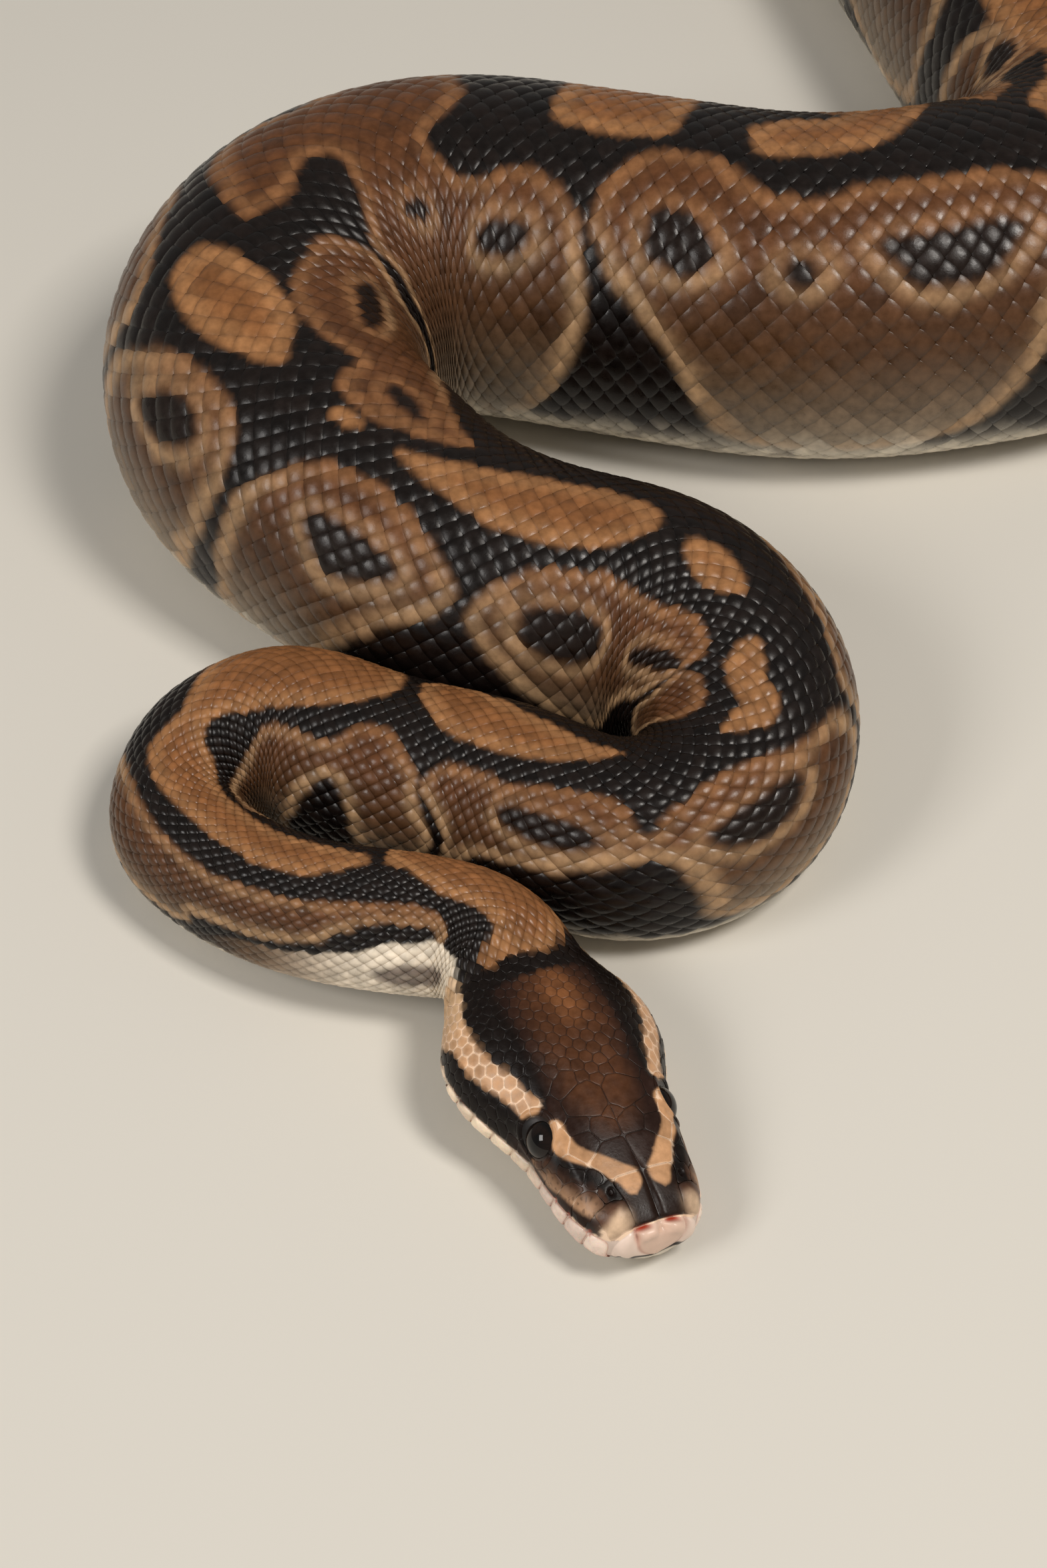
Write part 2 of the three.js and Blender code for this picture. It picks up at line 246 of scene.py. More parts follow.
@dataclass(frozen=True)
class Spine:
    """The line of the body on the floor plan, as a chain of eased bends from the snout."""

    step: float = 0.25
    line: dict[str, Array] = field(default_factory=dict)

    def __post_init__(self) -> None:
        """Walks the line and keeps place and heading at each step."""
        count = round(TOTAL_LENGTH / self.step)
        middle = (np.arange(count) + 0.5) * self.step
        turn = self.curvature(middle) * self.step
        heading = math.radians(HEAD_HEADING_DEG) + np.concatenate([[0.0], np.cumsum(turn)])
        between = heading[:-1] + turn / 2
        self.line["s"] = np.arange(count + 1) * self.step
        self.line["heading"] = heading
        for name, start, way in (
            ("x", SNOUT_TIP[0], np.cos(between)),
            ("y", SNOUT_TIP[1], np.sin(between)),
        ):
            self.line[name] = start + np.concatenate([[0.0], np.cumsum(way * self.step)])

    @staticmethod
    def curvature(s: Array) -> Array:
        """Returns the turn per millimetre: each bend is flat-topped with cosine ends.

        Args:
            s: distances from the snout.

        Returns:
            The turns, in radians for each millimetre.
        """
        total = np.zeros_like(s)
        level = 1 / (1 - BEND_EASE / 2)
        for middle, length, turn in BENDS:
            reach = 2 * np.abs(s - middle) / length
            fall = np.clip((reach - 1 + BEND_EASE) / BEND_EASE, 0, 1)
            total += math.radians(turn) / length * level * 0.5 * (1 + np.cos(math.pi * fall))
        return total

    def at(self, s: Array) -> tuple[Array, Array, Array]:
        """Returns x, y and heading at distances from the snout.

        Args:
            s: distances from the snout.

        Returns:
            Both coordinates in millimetres, and the heading in radians.
        """
        line = self.line
        x, y, heading = (np.interp(s, line["s"], line[k]) for k in ("x", "y", "heading"))
        return x, y, heading


class Form:
    """The outer form of the snake: sections swept along the spine, with the head's relief."""

    def __init__(self) -> None:
        """Builds the section table and the table that turns a share of girth into an angle."""
        self.spine = Spine()
        trunk = [self._trunk_row(s, half) for s, half in GIRTH]
        self.sections = SmoothTable(np.array([*HEAD_SECTIONS, *trunk, TAIL_TIP_SECTION], float))
        self._rows = np.concatenate([np.arange(0, 1, 0.05), np.arange(1, 50, 0.25),
                                     np.arange(50, TOTAL_LENGTH + 1, 2.0)])
        angle = np.linspace(0, math.pi, 361)
        aside, height = self.outline(self._rows[:, None], angle[None, :])
        steps = np.hypot(np.diff(aside, axis=1), np.diff(height, axis=1))
        arc = np.concatenate([np.zeros((len(self._rows), 1)), np.cumsum(steps, axis=1)], axis=1)
        self._half_girth = arc[:, -1]
        self._arc = arc
        self._shares = np.linspace(0, 1, 241)
        self._angles = np.array([np.interp(self._shares * a[-1], a, angle) for a in arc])

    @staticmethod
    def _trunk_row(s: float, half: float) -> tuple[float, ...]:
        """Returns the section row of the trunk with a given half width.

        Args:
            s: distance from the snout.
            half: half width there.

        Returns:
            The distance, the half width, the heights of back, widest place and belly, and the
            squareness of the upper and the lower half.
        """
        belly = NECK_LIFT * (1 - float(smoothstep(*LIFT_FADE, s)))
        widest = belly + FLANK_HEIGHT * half
        return (s, half, widest + BACK_HEIGHT * half, widest, belly, *TRUNK_SQUARENESS)

    def outline(self, s: Array, angle: Array) -> tuple[Array, Array]:
        """Returns how far aside and how high the section lies at angles from the back.

        Each half is a superellipse, and the lower one is cut off flat at the belly.

        Args:
            s: distances from the snout.
            angle: angles from the back in radians, positive on the right.

        Returns:
            Both measures, in millimetres.
        """
        half, top, widest, bottom, upper, lower = np.moveaxis(self.sections(s), -1, 0)
        up, out = np.cos(angle), np.sin(angle)
        power = 2 / np.where(up >= 0, upper, lower)
        aside = np.sign(out) * np.abs(out) ** power * half
        reach = np.abs(up) ** power
        over = widest + reach * (top - widest)
        under = np.maximum(widest - reach * (widest - bottom) * BELLY_FULLNESS, bottom)
        return aside, np.where(up >= 0, over, under)

    def half_width(self, s: Array) -> Array:
        """Returns the half width of the section."""
        return self.sections(np.asarray(s, float))[..., 0]

    def half_girth(self, s: Array) -> Array:
        """Returns the length round the section from the back to the middle of the belly."""
        return np.interp(s, self._rows, self._half_girth)

    def angle(self, s: Array, p: Array) -> Array:
        """Returns the section angle at a share of the girth, by interpolation both ways.

        Args:
            s: distances from the snout.
            p: shares of the way from the back round to the belly.

        Returns:
            The angles in radians, with the sign of p.
        """
        row = np.interp(s, self._rows, np.arange(len(self._rows)))
        column = np.abs(p) * (len(self._shares) - 1)
        r0 = np.clip(row.astype(int), 0, len(self._rows) - 2)
        c0 = np.clip(column.astype(int), 0, len(self._shares) - 2)
        fr, fc = row - r0, column - c0
        table = self._angles
        near = table[r0, c0] * (1 - fc) + table[r0, c0 + 1] * fc
        far = table[r0 + 1, c0] * (1 - fc) + table[r0 + 1, c0 + 1] * fc
        return np.sign(p) * (near * (1 - fr) + far * fr)

    def arc_at(self, s: Array, degrees: Array) -> Array:
        """Returns the signed arc from the middle of the back to an angle, in millimetres.

        Args:
            s: distances from the snout.
            degrees: angles from the middle of the back.

        Returns:
            The arcs, with the signs of the angles.
        """
        row = np.clip(np.searchsorted(self._rows, s), 0, len(self._rows) - 1)
        place = np.abs(degrees) / 180 * (self._arc.shape[1] - 1)
        low = np.clip(place.astype(int), 0, self._arc.shape[1] - 2)
        near, far = self._arc[row, low], self._arc[row, low + 1]
        return np.sign(degrees) * (near + (far - near) * (place - low))

    def base(self, s: Array, p: Array) -> Array:
        """Returns points of the outer form, in millimetres; p past 1 comes up the other side.

        Args:
            s: distances from the snout.
            p: shares of the way from the back round to the belly.

        Returns:
            The points, with x, y and z as the last axis.
        """
        aside, height = self.outline(s, self.angle(s, wrapped(p)))
        x, y, heading = self.spine.at(s)
        roll = math.radians(HEAD_ROLL_DEG) * (1 - smoothstep(*ROLL_FADE, s))
        above = height - ROLL_AXIS_HEIGHT
        sideways = aside * np.cos(roll) - above * np.sin(roll)
        up = ROLL_AXIS_HEIGHT + aside * np.sin(roll) + above * np.cos(roll)
        return np.stack([x - np.sin(heading) * sideways, y + np.cos(heading) * sideways,
                         np.maximum(up, 0.0)], axis=-1)

    def normal(self, s: Array, p: Array) -> Array:
        """Returns unit normals that point out of the body, from small steps along s and p.

        Args:
            s: distances from the snout.
            p: shares of the way from the back round to the belly.

        Returns:
            The normals, with x, y and z as the last axis.
        """
        ds, dp, nearest = NORMAL_STEPS
        back = np.maximum(s - ds, nearest)
        along = self.base(s + ds, p) - self.base(back, p)
        around = self.base(s, p + dp) - self.base(s, p - dp)
        way = np.cross(along, around)
        return way / np.maximum(np.linalg.norm(way, axis=-1, keepdims=True), 1e-9)

    def lifted(self, s: Array, p: Array, lift: Array) -> Array:
        """Returns points at a height over the outer form, kept above the floor.

        Args:
            s: distances from the snout.
            p: shares of the way from the back round to the belly.
            lift: heights over the form and the head's relief.

        Returns:
            The points, with x, y and z as the last axis.
        """
        relief = head_relief(s, p * self.half_girth(s))
        point = self.base(s, p) + self.normal(s, p) * (lift + relief)[..., None]
        point[..., 2] = np.maximum(point[..., 2], 0.0)
        return point


SNOUT_SHIFT = 0.75  # how far the snout's middle line lies to the left of the back's middle
SHIFT_FADE = (8.0, 14.0)
# Arc from the middle of the back to the mouth line, against distance from the snout.
MOUTH_ARC = ((0, 2.7), (0.06, 3.8), (0.1, 3.9), (0.2, 4.7), (0.5, 6.9), (1.2, 9.4), (2, 11.2),
             (3, 12.8), (5, 14.4), (8, 15.9), (11, 17.0), (14, 17.8), (17, 18.5), (20, 19.3),
             (24, 20.7), (28, 22.2), (32, 22.4), (35, 22.2), (40, 21.0), (46, 18.2), (50, 18.0))

# Arc to the upper edge of the upper lip, against distance from the snout.
LIP_TOP = ((1.3, 5.2), (2.2, 7.9), (4.3, 10.2), (8, 12.6), (11, 14), (14, 15.2), (17, 16), (20, 16.9),
           (24, 18.3), (28, 19.6), (32, 20.4), (35, 20.8))


def head_midline(s: Array) -> Array:
    """Returns the arc at which the middle line of the snout lies."""
    return -SNOUT_SHIFT * (1 - smoothstep(*SHIFT_FADE, s))


def mouth_arc(s: Array) -> Array:
    """Returns the arc from the middle of the back to the mouth line."""
    return np.interp(s, *np.array(MOUTH_ARC).T)


def lip_top(s: Array) -> Array:
    """Returns the arc from the middle of the back to the upper edge of the upper lip."""
    return np.interp(s, *np.array(LIP_TOP).T)


def mouth_spread(s: Array) -> Array:
    """Returns how wide the mouth line is drawn: twice as wide round the snout's tip."""
    return 1 + smoothstep(2.4, 0.8, s)


# Bumps and dents of the head: distance from the snout, arc from the middle line, reach along,
# reach across, height. Each is a bell curve on both sides of the head.
HEAD_BUMPS = (
    (3.6, 5.9, 1.7, 2.0, 0.55),  # nasal swelling
    (*NOSTRIL, 0.42, 0.32, -0.8),  # nostril
    (13.0, 8.4, 3.0, 0.9, 0.30),  # canthal ridge
    (11.0, 10.6, 3.0, 1.2, -0.35),  # hollow in front of the eye
    (19.5, 8.2, 2.6, 1.0, 0.35),  # brow over the eye
    (18.7, 15.6, 3.4, 1.2, -0.25),  # hollow under the eye
    (3.2, 0.0, 2.0, 0.45, -0.45),  # furrow between the internasals
    (7.0, 0.0, 3.0, 0.4, -0.25),  # its end towards the crown
    (30.0, 0.0, 9.0, 1.8, -0.35),  # furrow between the jaw muscles
    (31.0, 7.0, 7.0, 3.2, 0.35),  # jaw muscle
)
# The two lobes of the rostral plate and the first scale of the lip on each side: as above, but flat
# across the top.
ROSTRAL_LOBE = (0.75, 2.2, 0.5, 1.4, 0.85)
FIRST_LABIAL = (0.9, 6.3, 0.7, 1.8, 0.5)
ROSTRAL_FOLD = 4.0  # arc from the middle line to the side of the rostral plate
# Furrows of the rostral plate: arc from the middle line, reach across, depth.
ROSTRAL_FURROWS = ((0.0, 0.7, 0.45), (ROSTRAL_FOLD, 0.34, 0.6))
# Heat pits of the upper lip, by distance and arc from the middle of the back; reach along, reach
# across, depth.
LIP_PITS = ((4.35, 10.2), (8.15, 12.6), (11.2, 14.0))
LIP_PIT_SIZE = (0.3, 0.5, 0.35)
# The pits of the rostral plate: distance, half the arc between them, arc of their middle, reach
# along, reach across, depth.
ROSTRAL_PIT = (1.42, 2.3, -0.2, 0.28, 1.1, 0.7)
EYE_RIM = (3.35, 0.55, 0.30)  # radius, reach across, height
LOBE_START = (0.05, 0.5)  # distances over which the lobes set in
FURROW_START, FURROW_END = (0.3, 0.8), (2.1, 1.5)
JAW_TUCK = 1.1  # how far the lower lip lies inside the upper one
TUCK_WIDTH, TUCK_FADE = 0.7, (9.0, 4.0)  # arcs under the mouth line
TUCK_START, TUCK_END = (0.05, 2.5), (38.0, 30.0)
RELIEF_END = 60.0  # no bump reaches behind this


def lip_pits(s: Array, q: Array) -> Array:
    """Returns 1 in the heat pits along the upper lip, fading to 0 outside them.

    Args:
        s: distances from the snout.
        q: arcs from the middle of the back.

    Returns:
        The share at each place.
    """
    reach_s, reach_q, _ = LIP_PIT_SIZE
    return sum(bell(s, along, reach_s) * bell(np.abs(q), across, reach_q)
               for along, across in LIP_PITS)


def rostral_pits(s: Array, q: Array) -> Array:
    """Returns 1 in the two heat pits over the rostral plate, fading to 0 outside them."""
    along, across, middle, reach_s, reach_q, _ = ROSTRAL_PIT
    return bell(s, along, reach_s, 4) * bell(np.abs(q - middle), across, reach_q, 4)


def head_relief(s: Array, q: Array) -> Array:
    """Returns the height of the head's bumps over its swept form.

    Args:
        s: distance from the snout.
        q: arc from the middle of the back, positive on the right.

    Returns:
        The sum of the bell curves less the tuck of the jaw, in millimetres, nought behind the head.
    """
    t = np.abs(q - head_midline(s))
    total = np.zeros_like(s)
    if np.min(s) > RELIEF_END:
        return total
    for row, share in ((ROSTRAL_LOBE, smoothstep(*LOBE_START, s)), (FIRST_LABIAL, 1.0)):
        along, across, reach_s, reach_t, height = row
        total += height * bell(s, along, reach_s) * bell(t, across, reach_t, 4) * share
    front = smoothstep(*FURROW_START, s) * smoothstep(*FURROW_END, s)
    for across, reach, depth in ROSTRAL_FURROWS:
        total -= depth * bell(t, across, reach) * front
    total -= ROSTRAL_PIT[-1] * rostral_pits(s, q) + LIP_PIT_SIZE[-1] * lip_pits(s, q)
    for along, across, reach_s, reach_t, height in HEAD_BUMPS:
        total += height * bell(s, along, reach_s) * bell(t, across, reach_t)
    radius, reach, height = EYE_RIM
    total += height * bell(np.hypot(s - EYE_ALONG, t - EYE_ARC), radius, reach)
    below = np.abs(q) - mouth_arc(s)
    tuck = smoothstep(0.0, TUCK_WIDTH * mouth_spread(s), below) * smoothstep(*TUCK_FADE, below)
    tuck = tuck * smoothstep(*TUCK_START, s) ** 0.5 * smoothstep(*TUCK_END, s)
    return total - JAW_TUCK * tuck


# ---- the markings ------------------------------------------------------------------------


class Mark(Enum):
    """What a marking is, which sets how it is coloured."""

    SADDLE = "saddle"  # even tan patch on the back
    FLANK = "flank"  # brown patch on the side with a pale rim, fading down to the belly
    SPOT = "spot"  # black eye inside a flank patch, with a pale rim
    BLOTCH = "blotch"  # grey cloud on the white side of the neck


class Tones:
    """The colours of the snake, as linear red, green and blue."""

    BLACK = tint("120b08")
    BROWN_BLACK = tint("1f120c")
    SADDLE = tint("875833")
    SADDLE_LIGHT = tint("9c6e46")
    FLANK = tint("613c22")
    FLANK_LOW = tint("543823")
    FLANK_GREY = tint("6e5a46")
    RIM_BROWN = tint("865c3a")
    RIM = tint("aa8864")
    LOW = tint("a3937d")
    NECK = tint("f0e2cd")
    # brown that the white side of the neck turns to towards the trunk: partly its own tone, partly
    # painted shade
    NECK_BROWN_PAINTED_SHADE = tint("8a6a4c")
    BLOTCH = tint("6f6259")
    BELLY = tint("dcd1bd")
    FLECK = tint("5b5048")
    CROWN = tint("281710")
    CROWN_RED = tint("55331d")
    CROWN_ORANGE = tint("7c4e2d")
    STRIPE = tint("c0926a")
    STRIPE_PALE = tint("d3ad84")
    EDGE = tint("2b1d17")
    STRIPE_RIM = tint("f0d0b2")
    # reddish crease of the lips and rostral plate: partly their own tone, partly painted shade
    LIP_CREASE_TONE_AND_SHADE = tint("b9826e")
    LIP = tint("eed6c6")
    LIP_PINK = tint("dfa999")
    LIP_CREAM = tint("f0d8bb")
    CHIN = tint("e6dac6")
    SNOUT = tint("21130c")
    NASAL = tint("664635")
    NASAL_PALE = tint("dabb9c")
    CHEEK_DARK = tint("452d20")
    CHEEK = tint("ad8768")
    PIT = tint("a8361f")
    ROSTRAL = tint("e2c0ab")
    # painted shade in the nostrils and along the mouth line
    MOUTH_NOSTRIL_SHADE = tint("170d0a")
    EYE_BLACK = tint("070504")
    EYE_IRIS = tint("150c08")


PALE_TONE = (0.10, 0.26)  # mean tone at which a scale begins to count as pale, and fully does


def paleness(colour: Array) -> Array:
    """Returns how far each colour counts as pale, from 0 to 1."""
    return smoothstep(*PALE_TONE, colour.mean(-1))


class Vary:
    """How much the grain varies each tone of the body: the share at grain 0, and the rise to 1."""

    BLACK = (0.7, 0.9)
    FLANK = (0.82, 0.32)
    RIM = (0.85, 0.4)
    HALO = (0.8, 0.5)
    SADDLE = (0.82, 0.34)
    BELLY = (0.82, 0.24)
    NECK = (0.85, 0.25)
    BLOTCH = (0.7, 0.6)


def corners(flat: tuple[float, ...]) -> Array:
    """Returns a flat run of numbers as rows of two."""
    return np.array(flat, float).reshape(-1, 2)


def mirrored(points: Array) -> Array:
    """Returns an outline on the snake's left that mirrors one on its right, wound the same way."""
    return (points * [1, -1])[::-1]


def both_sides(outlines: list[Array]) -> list[Array]:
    """Returns outlines of the right side and, after them, their mirror images on the left."""
    return outlines + [mirrored(line) for line in outlines]


def rounded(points: Array, steps: int = 5) -> Array:
    """Returns a closed outline with its corners eased by a Catmull-Rom curve.

    Args:
        points: the corners, two columns.
        steps: how many points are put on each side.

    Returns:
        The eased outline, two columns.
    """
    before, here = np.roll(points, 1, 0), points
    after, beyond = np.roll(points, -1, 0), np.roll(points, -2, 0)
    t = (np.arange(steps) / steps)[None, :, None]
    a, b, c, d = (v[:, None] for v in (before, here, after, beyond))
    curve = 0.5 * (2 * b + (c - a) * t + (2 * a - 5 * b + 4 * c - d) * t**2
                   + (3 * b - a - 3 * c + d) * t**3)
    return curve.reshape(-1, 2)


def signed_distance(outline: Array, s: Array, q: Array) -> Array:
    """Returns how far points lie inside a closed outline; outside is negative.

    The distance is the least over the sides, and a point is inside when a line from it towards
    greater s crosses the outline an odd number of times.

    Args:
        outline: corners, two columns.
        s: first coordinates of the points.
        q: second coordinates of the points.

    Returns:
        The depth of each point, in the units of the outline.
    """
    a, b = outline, np.roll(outline, -1, 0)
    e = b - a
    size = np.maximum((e**2).sum(1), 1e-12)
    result = np.empty(len(s))
    for low in range(0, len(s), 20000):
        part = slice(low, low + 20000)
        u, v = s[part, None] - a[:, 0], q[part, None] - a[:, 1]
        t = np.clip((u * e[:, 0] + v * e[:, 1]) / size, 0, 1)
        gap = np.sqrt(((u - t * e[:, 0]) ** 2 + (v - t * e[:, 1]) ** 2).min(1))
        side = (v < 0) != (q[part, None] < b[:, 1])
        rise = np.where(np.abs(e[:, 1]) > 1e-9, e[:, 1], 1e-9)
        cross = side & (u < e[:, 0] * v / rise)
        result[part] = np.where(cross.sum(1) % 2 == 1, gap, -gap)
    return result


# Patches of the back and sides, by kind: corners as distance from the snout and angle in degrees from
# the middle of the back, positive on the right.
BODY_MARKS: dict[Mark, tuple[tuple[float, ...], ...]] = {
    Mark.SADDLE: (
        (44.2, -6, 44.4, -17, 45.3, -28, 46.5, -38, 48, -52, 49.5, -64, 52, -75, 60, -80, 66, -70,
         69.5, -50, 69.5, -15, 68, -10, 65, -2, 62, 8, 60, 15, 55, 16, 50, 17, 48.3, 22, 47.6, 30,
         46.6, 37, 45.6, 40, 44.7, 32, 44.6, 22, 45.1, 13, 44.8, 3),
        (72, -15, 74, -24, 80, -27, 90, -28, 98, -33, 105, -37, 112, -36, 115.5, -31, 118, -20, 120, -12,
         122.5, -14, 126, -20, 130, -24, 136, -24, 141, -20, 146, -11, 150, 0, 152.3, 12, 152, 30,
         150, 45, 146, 55, 138, 60, 130, 55, 126, 42, 124, 25, 122, 17, 120.5, 13, 118.5, 17, 116, 24,
         113, 22, 109, 15, 103, 10, 97, 11, 91, 14, 85, 15, 80, 13, 77, 6, 74, 0, 72, -8),
        (156, 18, 158, 6, 161, -6, 165, -13, 170, -13.5, 175, -11, 180, -5, 185, 5, 190, 13, 188, 18,
         182, 21, 175, 24, 170, 29, 166, 38, 163, 46, 159, 50, 156.5, 42, 155.5, 30),
        (206.5, 0, 208, -8, 210, -16, 213, -19, 216, -15, 216, -6, 213, -2, 209, 1),
        (213, 0, 215, -7, 219, -9, 223, -3, 222, 6, 219, 12, 216, 9, 214, 5),
        (230.5, -4, 233, -11, 238, -12, 241.5, -6, 241, 4, 237, 9, 233, 7),
        (246.5, -4, 248, -11, 252, -15.5, 260, -15, 268, -11.5, 275, -6, 282, 1, 287, 7, 284, 11,
         277, 14.5, 270, 19, 262, 20, 255, 18.5, 250, 12, 247.5, 3),
        (294, 9, 295.5, 5, 298.5, 6, 299, 12, 296, 13.5),
        (311, 9, 313, 2, 317, -4, 322, -6.5, 327, -4.5, 331, 2, 334, 8, 336, 16, 335.5, 25, 333, 31,
         328, 30, 324, 27.5, 320, 23, 315, 17),
        (399, 5, 400.5, -2, 405, -4, 414, -3.5, 419, 0, 420.5, 8, 421, 25, 420, 45, 410, 52, 400, 46,
         398.5, 25),
        (432, 4, 433, -2, 437, -4.5, 445, -3, 452, 0, 458, 8, 463, 20, 467, 36, 468, 50, 460, 56, 454, 50,
         452, 36, 448, 24, 441, 20, 436, 17, 432.5, 10),
        (498, 25, 510, 31, 520, 40, 535, 46, 545, 44, 550, 30, 540, 15, 515, 12, 500, 18),
    ),
    Mark.FLANK: (
        (57, 57, 56.3, 50, 57, 43, 58.5, 36, 60.5, 30.5, 64, 26.5, 70, 27.5, 75, 30, 80, 33, 86, 36,
         93, 37.5, 100, 35, 106, 33, 110, 34, 112.5, 40, 114.5, 50, 116, 62, 116, 80, 112, 95, 105, 102,
         98, 100, 94, 92, 93.5, 82, 90, 79, 86, 78, 83.8, 76.5, 80.3, 74.5, 77.3, 70, 75.2, 67,
         74.4, 62.5, 74.2, 59, 72, 53, 69.3, 46, 66.8, 44, 63.7, 43.5, 61, 45, 60, 50, 59.6, 56),
        (98, -42, 103, -47, 110, -52, 118, -53, 125, -47, 130, -38, 136, -34, 142, -34.5, 146, -35,
         148, -30, 149.5, -21, 152.5, -15.5, 155, -17, 157.5, -25, 159, -33, 160.5, -40, 161, -50,
         162.5, -62, 164.5, -76, 162, -95, 158, -112, 154, -112, 152.8, -90, 151.8, -74, 150.6, -62,
         149, -56.5, 147.8, -60, 145.5, -76, 143.5, -100, 142, -118, 130, -122, 110, -118, 100, -100,
         94, -75, 94, -55),
        (161, -42, 163, -31, 166, -27.5, 171, -27, 176, -27, 180, -22, 185, -17.5, 188.5, -17, 191, -25,
         192.7, -38, 194.5, -31, 198, -22, 202, -18, 206.5, -22, 209.5, -31, 212, -38, 216, -45, 219, -60,
         218, -80, 212, -98, 203, -108, 198, -100, 197, -85, 196, -68, 193.5, -54, 190, -58, 185, -68,
         180, -73, 173, -80, 168, -95, 165, -98, 167, -80, 165.5, -66, 162, -52),
        (221, -52, 226, -44, 234, -43, 240, -50, 243, -65, 242, -85, 236, -105, 226, -108, 221, -90,
         220, -70),
        (279, -16, 283, -22, 289, -32, 296, -44, 300, -56, 303, -72, 310, -95, 325, -110, 338, -100,
         340, -80, 338, -62, 343, -50, 346, -42, 343, -29, 340, -20.5, 335, -17, 327, -10.5, 319, -8,
         311, -10, 306, -14, 304, -7, 302.5, 0, 299, 4, 294, 3, 288, -2, 282, -10),
        (341, 7, 343, 0, 347, -5, 352, -3, 356, -1, 359, -5, 359.5, -12, 358, -19, 356, -25, 351, -33,
         346.5, -40, 348, -50, 346, -62, 346, -80, 350, -100, 358, -114, 380, -122, 398, -118, 405, -104,
         409.5, -88, 411.5, -72, 411, -58, 409, -42, 405, -29, 400, -22.5, 395, -22, 389, -27.5, 383, -26,
         379.5, -20, 378, -13, 380, -6, 383, 0, 384.5, 8, 384, 25, 381, 45, 372, 52, 368, 40, 365, 32,
         361, 38, 356, 42, 351, 33, 346, 20),
        (409.5, -34, 411, -24, 414, -14, 418, -8, 423, -6.5, 430, -9.5, 434, -17, 439, -20.5, 445, -20,
         450, -15.5, 460, -14.5, 470, -15.5, 476, -18, 480, -26, 479, -45, 476, -65, 473, -82, 466, -100,
         452, -116, 436, -112, 430, -95, 426, -80, 420, -66, 414, -54, 411, -44),
        (205.5, 30, 207, 24, 210, 20, 215, 21.5, 219, 28, 220, 40, 219, 55, 221, 70, 217, 84, 209, 80,
         205, 62, 204.5, 45),
        (220.5, 29, 222.5, 20, 227, 17, 232, 21, 237, 28, 243, 30, 250, 28, 257, 28, 262.5, 32, 267, 42,
         269.8, 56, 268, 67, 264.5, 77, 261, 87, 255, 95, 246, 96, 238, 88, 230, 76, 223, 68, 220, 52),
        (271, 52, 273, 40, 278, 30, 284, 23, 290, 23, 295, 28, 299.5, 39, 303, 52, 304.5, 70, 305, 95,
         305, 115, 296, 122, 288, 108, 283, 88, 279, 74, 274, 64),
        (306, 57, 307, 43, 310, 34, 315, 31, 320, 33, 325, 42, 328.5, 55, 331, 70, 331, 90, 330, 108,
         322, 118, 312, 112, 309, 92, 307, 75),
        (332, 50, 335, 42, 342, 40, 349, 45, 352, 60, 350, 85, 343, 100, 335, 90, 332, 70),
        (478, 22, 485, 30, 495, 42, 505, 49, 515, 53, 525, 57, 534, 60, 537, 66, 534, 75, 525, 76,
         515, 72, 505, 66, 495, 58, 485, 45, 476, 32),
    ),
    Mark.BLOTCH: (
        (68.8, 88, 67.7, 82, 65.1, 77.5, 61.2, 76, 56.5, 78, 54.5, 84, 55, 92, 58, 97, 61.2, 98,
         63.7, 101, 66, 101, 68, 95),
    ),
    Mark.SPOT: (
        (108, -92, 115, -96, 125, -100, 124, -106, 112, -103),
        (176, -46, 179, -51, 184, -53, 188.5, -47, 186, -39, 180, -38.5, 177, -41),
        (198.5, -48, 200.5, -57, 204, -60, 208, -55, 208, -44, 204, -41, 200, -43),
        (228.5, -68, 231, -60, 235, -62, 236, -70, 232, -76),
        (289, -13, 292, -18, 297, -17, 296, -11, 291, -10),
        (313, -33, 317, -42, 324, -47, 332, -43, 330, -38, 322, -35),
        (390.5, -47, 393, -52, 398, -51, 400.5, -46, 399, -42, 393, -42),
        (366, -36, 370, -40, 374, -39, 373, -35, 369, -34),
        (419.5, -38, 421, -46, 425, -49.5, 429, -47, 430, -41, 427, -33, 423, -30.5, 420.5, -32),
        (440.3, -45, 441.5, -49, 443.3, -47, 443.3, -43, 441.5, -42),
        (452, -36, 454, -44, 457, -50, 462, -51, 467, -48, 471, -40, 472, -35, 466, -33, 458, -34),
        (221.5, 36, 225, 37, 230, 43, 235, 50, 236, 56, 231, 55, 225, 48, 222, 42),
        (250, 52, 253, 47, 259, 46, 262.5, 50, 262, 60, 258, 67, 252, 62),
        (279, 50, 282, 45, 287, 43.5, 292, 47, 290, 55, 287, 62, 282, 58),
        (313, 50, 316, 44, 320, 50, 322, 60, 317, 62, 314, 57),
    ),
}
# Hidden stretches, patterned by rule: side (1 right, -1 left, 0 back), start, end, period.
HIDDEN_RUNS = ((1, 358, 1080, 38.0), (-1, 486, 1080, 39.0), (0, 478, 1160, 37.0))
BELLY_EDGE_DEG = (104.0, 122.0)  # where the sides fade to the belly
PATCH_EDGE = (-0.4, 0.4)  # how softly a patch meets the black, in half scales
# Angles over which the tones of the sides change, from the first tone to the second.
FLANK_LOW_DEG, FLANK_GREY_DEG, FLANK_PALE_DEG = (35, 70), (68, 96), (86, 116)
RIM_PALE_DEG = (25, 62)
# Where the white side of the neck starts: distance from the snout and angle.
NECK_WHITE = ((44, 66), (50, 62), (54, 60), (57, 57), (60, 53.5), (62, 54.5), (66, 58), (68.7, 63),
              (70.8, 68.5), (75.3, 75), (80.4, 80), (86, 84), (95, 100))


